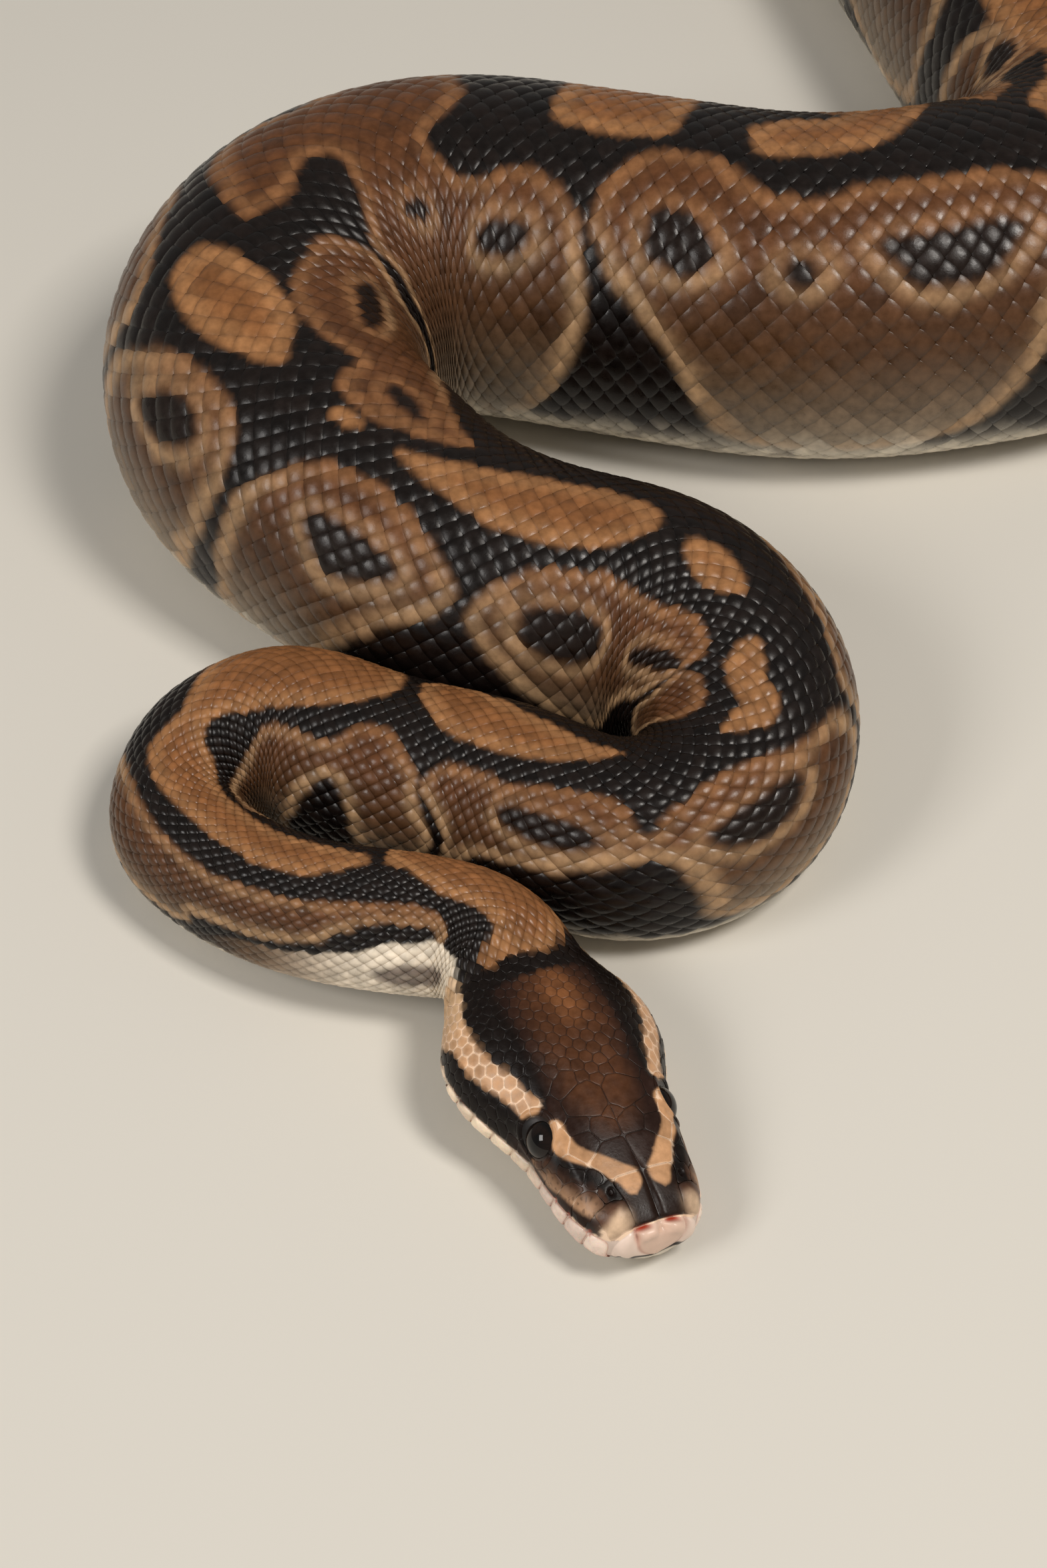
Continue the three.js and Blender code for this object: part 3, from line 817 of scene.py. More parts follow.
@dataclass(frozen=True)
class BodyEdges:
    """Where the tones of the body change: none at the first value, all at the second.

    A depth in a patch is in half scales, an angle is from the middle of the back, and the rest are
    distances from the snout, unless a note says otherwise.
    """

    half_scale: Range = (0.7, 0.045)  # in millimetres: a set part, and for each half width
    patch_jitter: float = 0.25  # how rough the edge of a patch is
    saddle_light: Range = (0.9, 1.1)  # depth of the lighter band, and its reach
    fleck_scatter: Range = (0.80, 0.92)
    fleck_size: Range = (3.0, 4.0)  # along and round the body, in millimetres
    fleck_share: float = 0.55
    fleck_deg: Range = (160.0, 120.0)
    belly_jitter: float = 5.0  # in degrees
    white_jitter: float = 1.5  # in degrees
    white_start: Range = (42.0, 47.0)
    white_end: Range = (95.0, 74.0)
    # distances over which the neck's white turns to the brown with painted shade
    white_to_painted_shade: Range = (86.0, 68.0)
    white_over: Range = (-0.5, 2.0)  # degrees past its upper edge
    white_low_deg: Range = (150.0, 125.0)
    cloud: Range = (0.95, 0.5)  # share of a grey blotch, and how much less in its middle
    cloud_depth: Range = (1.5, 3.5)  # in millimetres
    blotch: Range = (-0.6, 0.9)
    rim: tuple[float, float, float] = (0.8, 0.75, 0.9)  # depth, reach and share of the pale rim
    halo: tuple[float, float, float] = (-1.0, 0.7, 0.75)  # and of the halo round a spot
    spot: Range = (-0.5, 0.4)
    spot_share: float = 0.95
    low_share: float = 0.9
    dark_scatter: Range = (0.90, 0.99)
    dark_above_deg: float = 80.0
    dark_share: float = 0.5


@dataclass(frozen=True)
class RunShapes:
    """The patches of the hidden stretches. A half length is a share of the patch's own length."""

    stretch: Range = (0.85, 1.2)  # length of a patch over the usual one
    lean_deg: float = 6.0  # how far a saddle lies off the back
    saddle: float = 0.36
    saddle_spread: Range = (14.0, 20.0)  # half width in degrees
    spotted: float = 0.9  # a patch over this share of the usual length has a spot
    large: tuple[float, float, float] = (72.0, 0.42, 44.0)  # angle, half length, half width
    small: tuple[float, float, float] = (66.0, 0.36, 36.0)
    spot: tuple[float, float, float] = (52.0, 0.17, 7.0)
    spot_shift: float = 3.0  # in millimetres
    ripple: float = 0.12  # how far a corner strays from the oval
    corners: int = 12


BODY_EDGES, RUN_SHAPES = BodyEdges(), RunShapes()


class Pattern:
    """The markings of the whole snake: any place on the chart has one colour."""

    def __init__(self, form: Form) -> None:
        """Turns every outline into a smooth curve on the chart of distance and arc.

        Args:
            form: the body that the markings lie on.
        """
        self.form = form
        rng = np.random.default_rng(SEED)
        marks = [(kind, corners(flat)) for kind, group in BODY_MARKS.items() for flat in group]
        for run in HIDDEN_RUNS:
            marks += self._run(rng, *run)
        self.marks = [(kind, rounded(self._on_chart(points))) for kind, points in marks]

    def _on_chart(self, points: Array) -> Array:
        """Returns corners given by angle as corners given by arc, both in millimetres."""
        return np.stack([points[:, 0], self.form.arc_at(points[:, 0], points[:, 1])], axis=1)

    @staticmethod
    def _oval(s: float, deg: float, half: float, spread: float, rng: np.random.Generator) -> Array:
        """Returns a rough oval round a place.

        Args:
            s: distance of the place from the snout.
            deg: its angle from the back, in degrees.
            half: half length along the body, in millimetres.
            spread: half width round the body, in degrees.
            rng: the source of scatter.

        Returns:
            The corners, by distance and angle.
        """
        count, ripple = RUN_SHAPES.corners, RUN_SHAPES.ripple
        turn = np.linspace(0, 2 * math.pi, count, endpoint=False)
        size = 1 + rng.uniform(-ripple, ripple, count)
        return np.stack([s + np.cos(turn) * half * size, deg + np.sin(turn) * spread * size], axis=1)

    def _run(self, rng: np.random.Generator, side: int, start: float, end: float,
             period: float) -> list[tuple[Mark, Array]]:
        """Returns patches at nearly even distances along one side or the back.

        Args:
            rng: the source of scatter.
            side: 1 for the right side, -1 for the left, 0 for the back.
            start: where the first patch begins.
            end: where the run ends.
            period: about how far it is from one patch to the next.

        Returns:
            Kind and corners of each patch, by distance and angle.
        """
        found = []
        place = start
        shapes = RUN_SHAPES
        while place < end:
            length = period * rng.uniform(*shapes.stretch)
            middle = place + length / 2
            if side == 0:
                lean = rng.uniform(-shapes.lean_deg, shapes.lean_deg)
                spread = rng.uniform(*shapes.saddle_spread)
                shape = self._oval(middle, lean, length * shapes.saddle, spread, rng)
                found.append((Mark.SADDLE, shape))
                place += length
                continue
            spotted = length > period * shapes.spotted
            deg, half, spread = shapes.large if spotted else shapes.small
            found.append((Mark.FLANK, self._oval(middle, side * deg, length * half, spread, rng)))
            if spotted:
                deg, half, spread = shapes.spot
                middle += rng.uniform(-shapes.spot_shift, shapes.spot_shift)
                spot = self._oval(middle, side * deg, length * half, spread, rng)
                found.append((Mark.SPOT, spot))
            place += length
        return found

    def depths(self, s: Array, q: Array) -> dict[Mark, Array]:
        """Returns, for each kind of marking, how deep each place lies in the nearest of its kind.

        Args:
            s: distances from the snout.
            q: arcs from the middle of the back.

        Returns:
            The depths, in millimetres; far outside every outline they are held at one low value.
        """
        far = -9.0
        depth = {kind: np.full(len(s), far) for kind in Mark}
        for kind, outline in self.marks:
            low, high = outline[:, 0].min() + far, outline[:, 0].max() - far
            near = np.flatnonzero((s > low) & (s < high))
            if len(near):
                gap = signed_distance(outline, s[near], q[near])
                depth[kind][near] = np.maximum(depth[kind][near], gap)
        return depth

    def body(self, s: Array, q: Array, jitter: Array, grain: Array) -> Array:
        """Returns the colour of the neck, trunk and tail.

        Args:
            s: distance from the snout.
            q: arc from the middle of the back.
            jitter: a scatter from -1 to 1 that roughens the edges of the markings.
            grain: a scatter from 0 to 1 that varies the tone.

        Returns:
            Linear colours, one row for each place.
        """
        p = np.clip(q / self.form.half_girth(s), -1, 1)
        deg = np.degrees(np.abs(self.form.angle(s, p)))
        depth = self.depths(s, q)
        at = BODY_EDGES
        half_scale = at.half_scale[0] + at.half_scale[1] * self.form.half_width(s)
        edge = {kind: d / half_scale + at.patch_jitter * jitter for kind, d in depth.items()}
        colour = blend(varied(Tones.BLACK, grain, Vary.BLACK), self._flank(deg, edge, grain),
                       smoothstep(*PATCH_EDGE, edge[Mark.FLANK]))
        saddle = blend(Tones.SADDLE, Tones.SADDLE_LIGHT, bell(edge[Mark.SADDLE], *at.saddle_light))
        colour = blend(colour, varied(saddle, grain, Vary.SADDLE),
                       smoothstep(*PATCH_EDGE, edge[Mark.SADDLE]))
        along, around = at.fleck_size
        fleck = smoothstep(*at.fleck_scatter, hash_noise(np.round(s / along), np.round(q / around)))
        belly = blend(varied(Tones.BELLY, grain, Vary.BELLY), Tones.FLECK,
                      fleck * at.fleck_share * smoothstep(*at.fleck_deg, deg))
        colour = blend(colour, belly, smoothstep(*BELLY_EDGE_DEG, deg + at.belly_jitter * jitter))
        start, angle = np.array(NECK_WHITE, float).T
        over = (deg - np.interp(s, start, angle)) + at.white_jitter * jitter
        side = smoothstep(*at.white_start, s) * smoothstep(*at.white_end, s) * (q > 0)
        # painted shade, partly the neck's own brown: its white side darkens towards the trunk
        white = blend(Tones.NECK_BROWN_PAINTED_SHADE, Tones.NECK, smoothstep(*at.white_to_painted_shade, s))
        cloud = at.cloud[0] - at.cloud[1] * smoothstep(*at.cloud_depth, depth[Mark.BLOTCH])
        white = blend(varied(white, grain, Vary.NECK), varied(Tones.BLOTCH, grain, Vary.BLOTCH),
                      smoothstep(*at.blotch, edge[Mark.BLOTCH]) * cloud)
        share = side * smoothstep(*at.white_over, over) * smoothstep(*at.white_low_deg, deg)
        return blend(colour, white, share)

    @staticmethod
    def _flank(deg: Array, edge: dict[Mark, Array], grain: Array) -> Array:
        """Returns the colour of a flank patch: brown, greyer and paler lower down, with a pale rim.

        The black spot inside it has a pale halo, and a few scales on the upper side are dark.

        Args:
            deg: angles from the middle of the back, without their sign.
            edge: how deep each place lies in each kind of marking, in half scales.
            grain: a scatter from 0 to 1 that varies the tone.

        Returns:
            Linear colours, with red, green and blue as the last axis.
        """
        flank = blend(Tones.FLANK, Tones.FLANK_LOW, smoothstep(*FLANK_LOW_DEG, deg))
        flank = blend(flank, Tones.FLANK_GREY, smoothstep(*FLANK_GREY_DEG, deg))
        at = BODY_EDGES
        flank = blend(flank, Tones.LOW, smoothstep(*FLANK_PALE_DEG, deg) * at.low_share)
        pale = blend(Tones.RIM_BROWN, Tones.RIM, smoothstep(*RIM_PALE_DEG, deg))
        flank = varied(flank, grain, Vary.FLANK)
        for mark, vary, (middle, reach, share) in ((Mark.FLANK, Vary.RIM, at.rim),
                                                   (Mark.SPOT, Vary.HALO, at.halo)):
            flank = blend(flank, varied(pale, grain, vary), bell(edge[mark], middle, reach) * share)
        flank = blend(flank, Tones.BLACK, smoothstep(*at.spot, edge[Mark.SPOT]) * at.spot_share)
        dark = smoothstep(*at.dark_scatter, grain) * (deg < at.dark_above_deg) * at.dark_share
        return blend(flank, Tones.BROWN_BLACK, dark)


# ---- the head's colours ------------------------------------------------------------------

# Bands of the head, as distance from the snout and arc from the middle line.
CANTHAL = (5.5, 2.2, 6.3, 1, 7.3, 0.6, 8.6, 0.9, 9.8, 2.3, 11.5, 4, 13, 5.6, 14.5, 6.7, 16.5, 7.1,
           17.8, 7.2, 18.7, 7.8, 19, 8.8, 17.8, 9.3, 16.5, 9.7, 15.2, 9.9, 14.2, 9.3, 12.5, 8, 11,
           6.6, 9.5, 5.5, 8.2, 4.8, 7.5, 4.1, 6.3, 3.6, 5.6, 3.1)
POSTOCULAR = (21, 9.5, 22, 8.7, 23, 9, 24, 9.7, 26, 10, 28, 11, 30, 12.1, 32, 12.7, 34, 13, 36, 13.2,
              38, 13.3, 40, 13, 42, 12.2, 44, 11.6, 47, 11.4, 50, 12, 50, 19, 45, 20, 41, 20.5, 39,
              19, 38, 18.3, 37, 17.5, 36, 17, 34, 16.7, 32, 16.4, 30, 16, 28, 15, 26, 13.8, 24, 12.9,
              22, 12.3, 21.5, 11)
EYE_STRIPE = (20.5, 11, 21.5, 11.6, 22, 12.3, 24, 12.9, 26, 13.8, 28, 15, 30, 16, 32, 16.4, 34, 16.7,
              36, 17, 37, 17.5, 38, 18.3, 38.7, 19, 38, 19.8, 36, 20.2, 33, 20.2, 31, 20.6, 30, 20.3,
              28, 19.2, 27, 18.8, 26, 18, 25, 17, 24, 16, 23, 15.3, 21.5, 15, 20.2, 14.7, 18, 14.6,
              17.5, 13)
LOREAL = (5.5, 4.5, 6.5, 4.1, 7.5, 4.5, 9.5, 5.9, 11, 7, 12.5, 8.4, 14.2, 9.8, 15.8, 10.2, 16.8,
          11.4, 16.2, 12.6, 15.5, 11, 14.5, 10.8, 13, 10.3, 11.5, 9.6, 10, 8.8, 8.5, 7.5, 7.5, 6.3,
          5.5, 6)
LOREAL_BROWN = (4.5, 8.5, 5.4, 6.4, 7.5, 6.6, 10, 9, 13, 10.6, 15.5, 11.3, 17, 13.4, 17.6, 14.6, 14,
                14.4, 11, 12.9, 8, 11.6)
CROWN_PATCH = (14, 0, 16, 3, 20, 5, 25, 5.4, 30, 5.6, 35, 5.2, 39, 4, 42, 1.5, 42.5, -1.5, 40, -4.4, 35,
               -6, 30, -6, 25, -5.2, 20, -4.8, 16, -3)
CROWN_LIGHT = (31, -1.4, 33, 1, 37, 1.4, 40.5, 0.6, 42, -1.2, 40, -3, 36, -3.8, 33, -3.2)


@dataclass(frozen=True)
class HeadEdges:
    """Where the tones of the head change, in millimetres: none at the first value, all at the second.

    A depth is taken inside a band, an arc from the middle line, and the rest are distances from the
    snout, unless a note says otherwise.
    """

    crown_depth: Range = (-2.0, 2.4)
    light_depth: Range = (-1.0, 1.6)
    black_arc: Range = (6.6, 8.4)
    black_start: Range = (20.0, 23.0)
    snout_end: Range = (8.6, 7.0)
    nasal_along: Range = (3.4, 1.9)  # middle and reach
    nasal_arc: Range = (6.8, 2.6)  # middle and reach
    nasal_pale: Range = (5.3, 3.3)
    nasal_lean: tuple[float, float, float] = (0.3, 5.5, 3.0)  # by how much it leans, from, for
    cheek_depth: Range = (0.6, 3.4)
    brown_depth: Range = (-0.3, 0.5)
    band_depth: Range = (-0.3, 0.3)
    stripe_depth: Range = (-0.25, 0.3)
    rear_stripe_depth: Range = (-0.3, 0.35)
    fleck_wave: Range = (0.5, 0.9)  # height of the waves that make the flecks
    pale_stripe: Range = (34.0, 44.0)
    flush: Range = (1.8, 0.2)  # arc over the mouth line
    cream: Range = (12.0, 20.0)
    # the seam over the lip is darker, partly painted shade
    seam: Range = (0.1, 0.16)  # how far above the lip's edge it lies, and its reach
    seam_end: Range = (15.0, 11.0)
    seam_start: Range = (1.2, 1.6)
    rostral_end: Range = (1.75, 1.35)
    rostral_side: Range = (ROSTRAL_FOLD + 0.1, ROSTRAL_FOLD - 0.2)  # arc
    # the fold beside the rostral plate is darker, partly painted shade
    fold_reach: float = 0.3
    chin: Range = (0.0, 0.5)  # arc under the mouth line
    corner_start: Range = (38.5, 40.5)
    corner_arc: Range = (19.2, 20.6)
    pit: Range = (0.3, 0.7)  # share of a pit's depth
    nostril_size: Range = (0.62, 0.45)  # along and across
    nostril_edge: Range = (1.15, 0.75)  # share of its size
    mouth_width: Range = (0.32, 0.12)  # arc from the mouth line
    mouth_end: Range = (37.0, 35.0)
    nape_band: Range = (40.4, 41.2)
    nape_band_arc: Range = (11.5, 10.0)
    nape: Range = (43.2, HEAD_END)
    nape_side_arc: Range = (11.0, 13.0)
    nape_side_end: Range = (50.0, 46.5)


EDGES = HeadEdges()
Layer = tuple[Array, Array]  # a tone, and the share of it at each place


class HeadPlaces:
    """Places on the head, with what the layers of its colour are worked out from."""

    def __init__(self, s: Array, q: Array, grain: Array, jitter: Array,
                 bands: dict[str, Array]) -> None:
        """Works out arcs, depths in the bands, and the soft blotches of the crown.

        Args:
            s: distances from the snout.
            q: arcs from the middle of the back.
            grain: a scatter from 0 to 1 that varies the tone.
            jitter: a scatter from -1 to 1 that roughens the edges.
            bands: outlines of the head's bands, by name.
        """
        self.s, self.q = s, q
        self.t = np.abs(q - head_midline(s))  # arc from the snout's middle line
        self.arc, self.lip = np.abs(q), mouth_arc(s)
        self.depth = {name: signed_distance(line, s, q if name in ("crown", "light") else self.t)
                      for name, line in bands.items()}
        self.rough = 0.1 * jitter
        self.shade = (0.85 + 0.3 * grain)[:, None]
        self.blotch = 0.5 + 0.5 * (np.sin(1.9 * s + 1.3 * np.sin(1.4 * q))
                                   * np.sin(1.6 * q + 0.7 * s))

    def inside(self, band: str, fade: Range) -> Array:
        """Returns the share of a band at each place, with a slightly rough edge."""
        return smoothstep(*fade, self.depth[band] + self.rough)


class HeadPattern:
    """The markings of the head, the same on both sides but for the crown.

    The colour is built up of layers: each covers the ones before it by its share.
    """

    def __init__(self, body: Pattern) -> None:
        """Takes the body's markings, which carry on from the nape.

        Args:
            body: the markings of the whole body.
        """
        self.body = body
        self.bands = {name: rounded(corners(flat)) for name, flat in (
            ("canthal", CANTHAL), ("postocular", POSTOCULAR), ("eye_stripe", EYE_STRIPE),
            ("loreal", LOREAL), ("brown", LOREAL_BROWN), ("crown", CROWN_PATCH),
            ("light", CROWN_LIGHT))}

    def colour(self, s: Array, q: Array, grain: Array, jitter: Array) -> Array:
        """Returns linear colours for places on the head and nape.

        Args:
            s: distance from the snout.
            q: arc from the middle of the back.
            grain: a scatter from 0 to 1 that varies the tone.
            jitter: a scatter from -1 to 1 that roughens the edges.

        Returns:
            Linear colours, with red, green and blue as the last axis.
        """
        at = HeadPlaces(s, q, grain, jitter, self.bands)
        colour = Tones.CROWN * at.shade
        for layers in (self._crown, self._cheek, self._stripes, self._lips, self._snout):
            for tone, share in layers(at):
                colour = blend(colour, tone, share)
        band = smoothstep(*EDGES.nape_band, s) * smoothstep(*EDGES.nape_band_arc, at.t)
        colour = blend(colour, Tones.BLACK * at.shade, band)
        side = smoothstep(*EDGES.nape_side_arc, at.t) * smoothstep(*EDGES.nape_side_end, s)
        return blend(colour, self.body.body(s, q, jitter, grain),
                     smoothstep(*EDGES.nape, s + at.rough) * (1 - side))

    @staticmethod
    def _crown(at: HeadPlaces) -> list[Layer]:
        """Returns the reddish patch of the crown, its lighter middle, and the dark round them.

        Args:
            at: the places.

        Returns:
            The layers, in the order in which they cover one another.
        """
        red = smoothstep(*EDGES.crown_depth, at.depth["crown"] + 2 * at.rough)
        orange = smoothstep(*EDGES.light_depth, at.depth["light"] + 2 * at.rough)
        black = smoothstep(*EDGES.black_arc, at.t + at.rough) * smoothstep(*EDGES.black_start, at.s)
        return [
            (Tones.CROWN_RED * at.shade, red * (0.6 + 0.4 * at.blotch)),
            (Tones.CROWN_ORANGE * at.shade, orange * (0.55 + 0.45 * at.blotch)),
            (Tones.BLACK * at.shade, black),
            (Tones.SNOUT * at.shade, smoothstep(*EDGES.snout_end, at.s)),
        ]

    @staticmethod
    def _cheek(at: HeadPlaces) -> list[Layer]:
        """Returns the pale nasal plate, the flecked brown cheek and the dark bar over it.

        Args:
            at: the places.

        Returns:
            The layers, in the order in which they cover one another.
        """
        s, t = at.s, at.t
        nasal = bell(s, *EDGES.nasal_along, 4) * bell(t, *EDGES.nasal_arc, 4)
        lean, start, most = EDGES.nasal_lean
        pale = smoothstep(*EDGES.nasal_pale, s + lean * np.clip(t - start, 0, most) + 0.5 * at.blotch)
        cheek = blend(Tones.CHEEK_DARK * at.shade, Tones.CHEEK * at.shade,
                      smoothstep(*EDGES.cheek_depth, -at.depth["loreal"]))
        waves = np.sin(3.9 * s + 1.7 * np.sin(2.3 * at.q)) * np.sin(4.1 * at.q + 1.1 * s)
        fleck = smoothstep(*EDGES.fleck_wave, waves) * smoothstep(-0.5, 0.5, at.depth["brown"])
        return [
            (Tones.NASAL * at.shade, nasal * 0.9),
            (Tones.NASAL_PALE * at.shade, nasal * pale),
            (cheek, at.inside("brown", EDGES.brown_depth) * (1 - nasal)),
            (Tones.BROWN_BLACK, fleck * 0.5),
            (Tones.BLACK * at.shade, at.inside("loreal", EDGES.band_depth)),
        ]

    @staticmethod
    def _stripes(at: HeadPlaces) -> list[Layer]:
        """Returns the pale stripes in front of the eye and behind it.

        Args:
            at: the places.

        Returns:
            The layers, in the order in which they cover one another.
        """
        stripe = Tones.STRIPE * at.shade
        pale = blend(stripe, Tones.STRIPE_PALE * at.shade, smoothstep(*EDGES.pale_stripe, at.s))
        return [
            (stripe, at.inside("canthal", EDGES.stripe_depth)),
            (pale, at.inside("postocular", EDGES.rear_stripe_depth)),
        ]

    @staticmethod
    def _lips(at: HeadPlaces) -> list[Layer]:
        """Returns a darker seam over the lip, partly painted shade, then the upper lip, pink near the
        mouth and cream behind, and the dark eye stripe.

        Args:
            at: the places.

        Returns:
            The layers, in the order in which they cover one another.
        """
        s, arc, lip = at.s, at.arc, at.lip
        top = lip_top(s)
        tone = blend(Tones.LIP * at.shade, Tones.LIP_PINK * at.shade,
                     smoothstep(*EDGES.flush, lip - arc) * 0.55)
        tone = blend(tone, Tones.LIP_CREAM * at.shade, smoothstep(*EDGES.cream, s) * 0.85)
        over, reach = EDGES.seam
        seam = bell(arc, top - over, reach) * smoothstep(*EDGES.seam_end, s)
        seam = seam * smoothstep(*EDGES.seam_start, s)
        return [
            # painted shade, partly the crease's own tone: a darker seam along the lip's upper edge
            (Tones.LIP_CREASE_TONE_AND_SHADE, 0.7 * seam),
            (tone, smoothstep(*EDGES.band_depth, arc - top) * (arc < lip + 0.2)),
            (Tones.BLACK * at.shade, at.inside("eye_stripe", EDGES.band_depth)),
        ]

    @staticmethod
    def _snout(at: HeadPlaces) -> list[Layer]:
        """Returns the rostral plate with the painted shade of its side folds, the chin, the pits, and the
        nostrils and mouth line darkened by painted shade.

        Args:
            at: the places.

        Returns:
            The layers, in the order in which they cover one another.
        """
        s, t, arc, lip = at.s, at.t, at.arc, at.lip
        tip = smoothstep(*EDGES.rostral_end, s) * (arc < lip)
        fold = bell(t, ROSTRAL_FOLD, EDGES.fold_reach)
        chin = Tones.CHIN * at.shade
        corner = smoothstep(*EDGES.corner_start, s) * smoothstep(*EDGES.corner_arc, t)
        along, across = EDGES.nostril_size
        nostril = np.hypot((s - NOSTRIL[0]) / along, (t - NOSTRIL[1]) / across)
        wide, narrow = EDGES.mouth_width
        mouth = smoothstep(wide * mouth_spread(s), narrow, np.abs(arc - lip))
        return [
            (Tones.LIP * at.shade, tip),
            (Tones.ROSTRAL, 0.9 * smoothstep(*EDGES.rostral_side, t) * tip),
            # painted shade, partly the fold's own tone: the fold at the side of the rostral plate
            (Tones.LIP_CREASE_TONE_AND_SHADE, 0.7 * fold * tip),
            (chin, smoothstep(*EDGES.chin, arc - lip)),
            (chin, corner),
            (Tones.PIT, smoothstep(*EDGES.pit, lip_pits(s, at.q)) * 0.8),
            (Tones.PIT, rostral_pits(s, at.q)),
            # painted shade: the nostril holes and the mouth line are darkened
            (Tones.MOUTH_NOSTRIL_SHADE, smoothstep(*EDGES.nostril_edge, nostril)),
            (Tones.MOUTH_NOSTRIL_SHADE, mouth * smoothstep(*EDGES.mouth_end, s)),
        ]


# ---- scales ------------------------------------------------------------------------------

TONE = "tone"  # the colour attribute of skin and scales
BAKE_MAP = "OFBake"
PATCH = 0.0015  # half the width of one scale on the bake map
PLATE_PATCH = 0.009  # and of one large plate
FAR = 99.0  # the length of a ray that meets nothing
SHELL_BACK = 0.15  # how far the back of a scale lies under its edge


class Chart(Enum):
    """How a scale's own two coordinates give its place on the body."""

    CROWN = "crown"  # distance and arc from the middle of the back
    THROAT = "throat"  # distance and arc from the middle of the belly
    ROWS = "rows"  # offsets from a root given by distance and share of girth


@dataclass(frozen=True)
class Profile:
    """How a scale's surface stands over the skin, from its middle to its edge."""

    rings: tuple[float, ...]
    plateau: float  # how far its top stands over its edge
    dome: float  # how far its middle stands over the top's rim
    sink: float  # how far its edge lies under the outer form
    tilt: float = 0.0  # how far its rear edge stands over its front edge, for each millimetre
    roundness: float = 6.0  # how sharply the top turns down at the edge

    def lift(self, f: Array, along: Array) -> Array:
        """Returns the height at a share f of the way to the edge and a distance towards the tail."""
        crown = self.plateau * (1 - np.clip(f, 0, 1) ** self.roundness)
        return crown - self.sink + self.dome * (1 - f**2) + self.tilt * along


BODY_PROFILE = Profile((0.52, 0.86, 1.0), 0.26, 0.16, 0.30, 0.05, 5.0)
SCUTE_PROFILE = Profile((0.88, 1.0), 0.26, 0.0, 0.30, 0.05, 8.0)
PLATE_PROFILE = Profile((0.2, 0.35, 0.5, 0.62, 0.74, 0.84, 0.91, 0.955, 0.985, 1.0),
                        0.05, 0.03, 0.07, 0.0, 45.0)
CELL_PROFILE = Profile((0.8, 0.94, 1.0), 0.07, 0.02, 0.10, 0.045, 30.0)
LIP_PROFILE = Profile((0.3, 0.52, 0.7, 0.82, 0.91, 0.97, 1.0), 0.12, 0.42, 0.14, 0.0, 12.0)


def superellipse(count: int, square: float) -> Array:
    """Returns a closed outline of unit half axes whose powers of x and y add to one.

    Args:
        count: number of corners.
        square: the power; 2 makes it round.

    Returns:
        The corners, two columns.
    """
    c, s = unit_rays(count).T
    reach = (np.abs(c) ** square + np.abs(s) ** square) ** (-1 / square)
    return np.stack([c * reach, s * reach], axis=1)


def ray_reach(sites: Array, rays: Array, outlines: list[Array]) -> Array:
    """Returns how far each ray from each site runs before it meets the side of an outline.

    A ray and a side meet where both parameters are positive and the side's is at most one.

    Args:
        sites: starting places, two columns.
        rays: unit directions, two columns.
        outlines: closed outlines.

    Returns:
        One row for each site and one column for each ray; a ray that meets nothing has FAR.
    """
    a = np.concatenate(outlines)
    b = np.concatenate([np.roll(line, -1, 0) for line in outlines])
    side = b - a
    across = rays[:, None, 0] * side[None, :, 1] - rays[:, None, 1] * side[None, :, 0]
    across = np.where(np.abs(across) < 1e-9, 1e-9, across)
    reach = np.full((len(sites), len(rays)), FAR)
    for k, site in enumerate(sites):
        gap = a - site
        far = (gap[None, :, 0] * side[None, :, 1] - gap[None, :, 1] * side[None, :, 0]) / across
        at = (gap[None, :, 0] * rays[:, None, 1] - gap[None, :, 1] * rays[:, None, 0]) / across
        met = np.where((far > 1e-6) & (at >= 0) & (at <= 1), far, FAR)
        reach[k] = met.min(1)
    return reach


def inset(reach: Array, gap: float, rounds: int) -> Array:
    """Returns ray lengths drawn in by a gap, with corners eased by averaging with neighbours.

    Args:
        reach: the lengths, with neighbouring rays along the last axis.
        gap: how far they are drawn in.
        rounds: how often the corners are eased.

    Returns:
        The new lengths.
    """
    drawn = np.maximum(reach - gap, reach * 0.5)
    for _ in range(rounds):
        eased = (np.roll(drawn, 1, -1) + 2 * drawn + np.roll(drawn, -1, -1)) / 4
        drawn = np.minimum(drawn, eased)
    return drawn


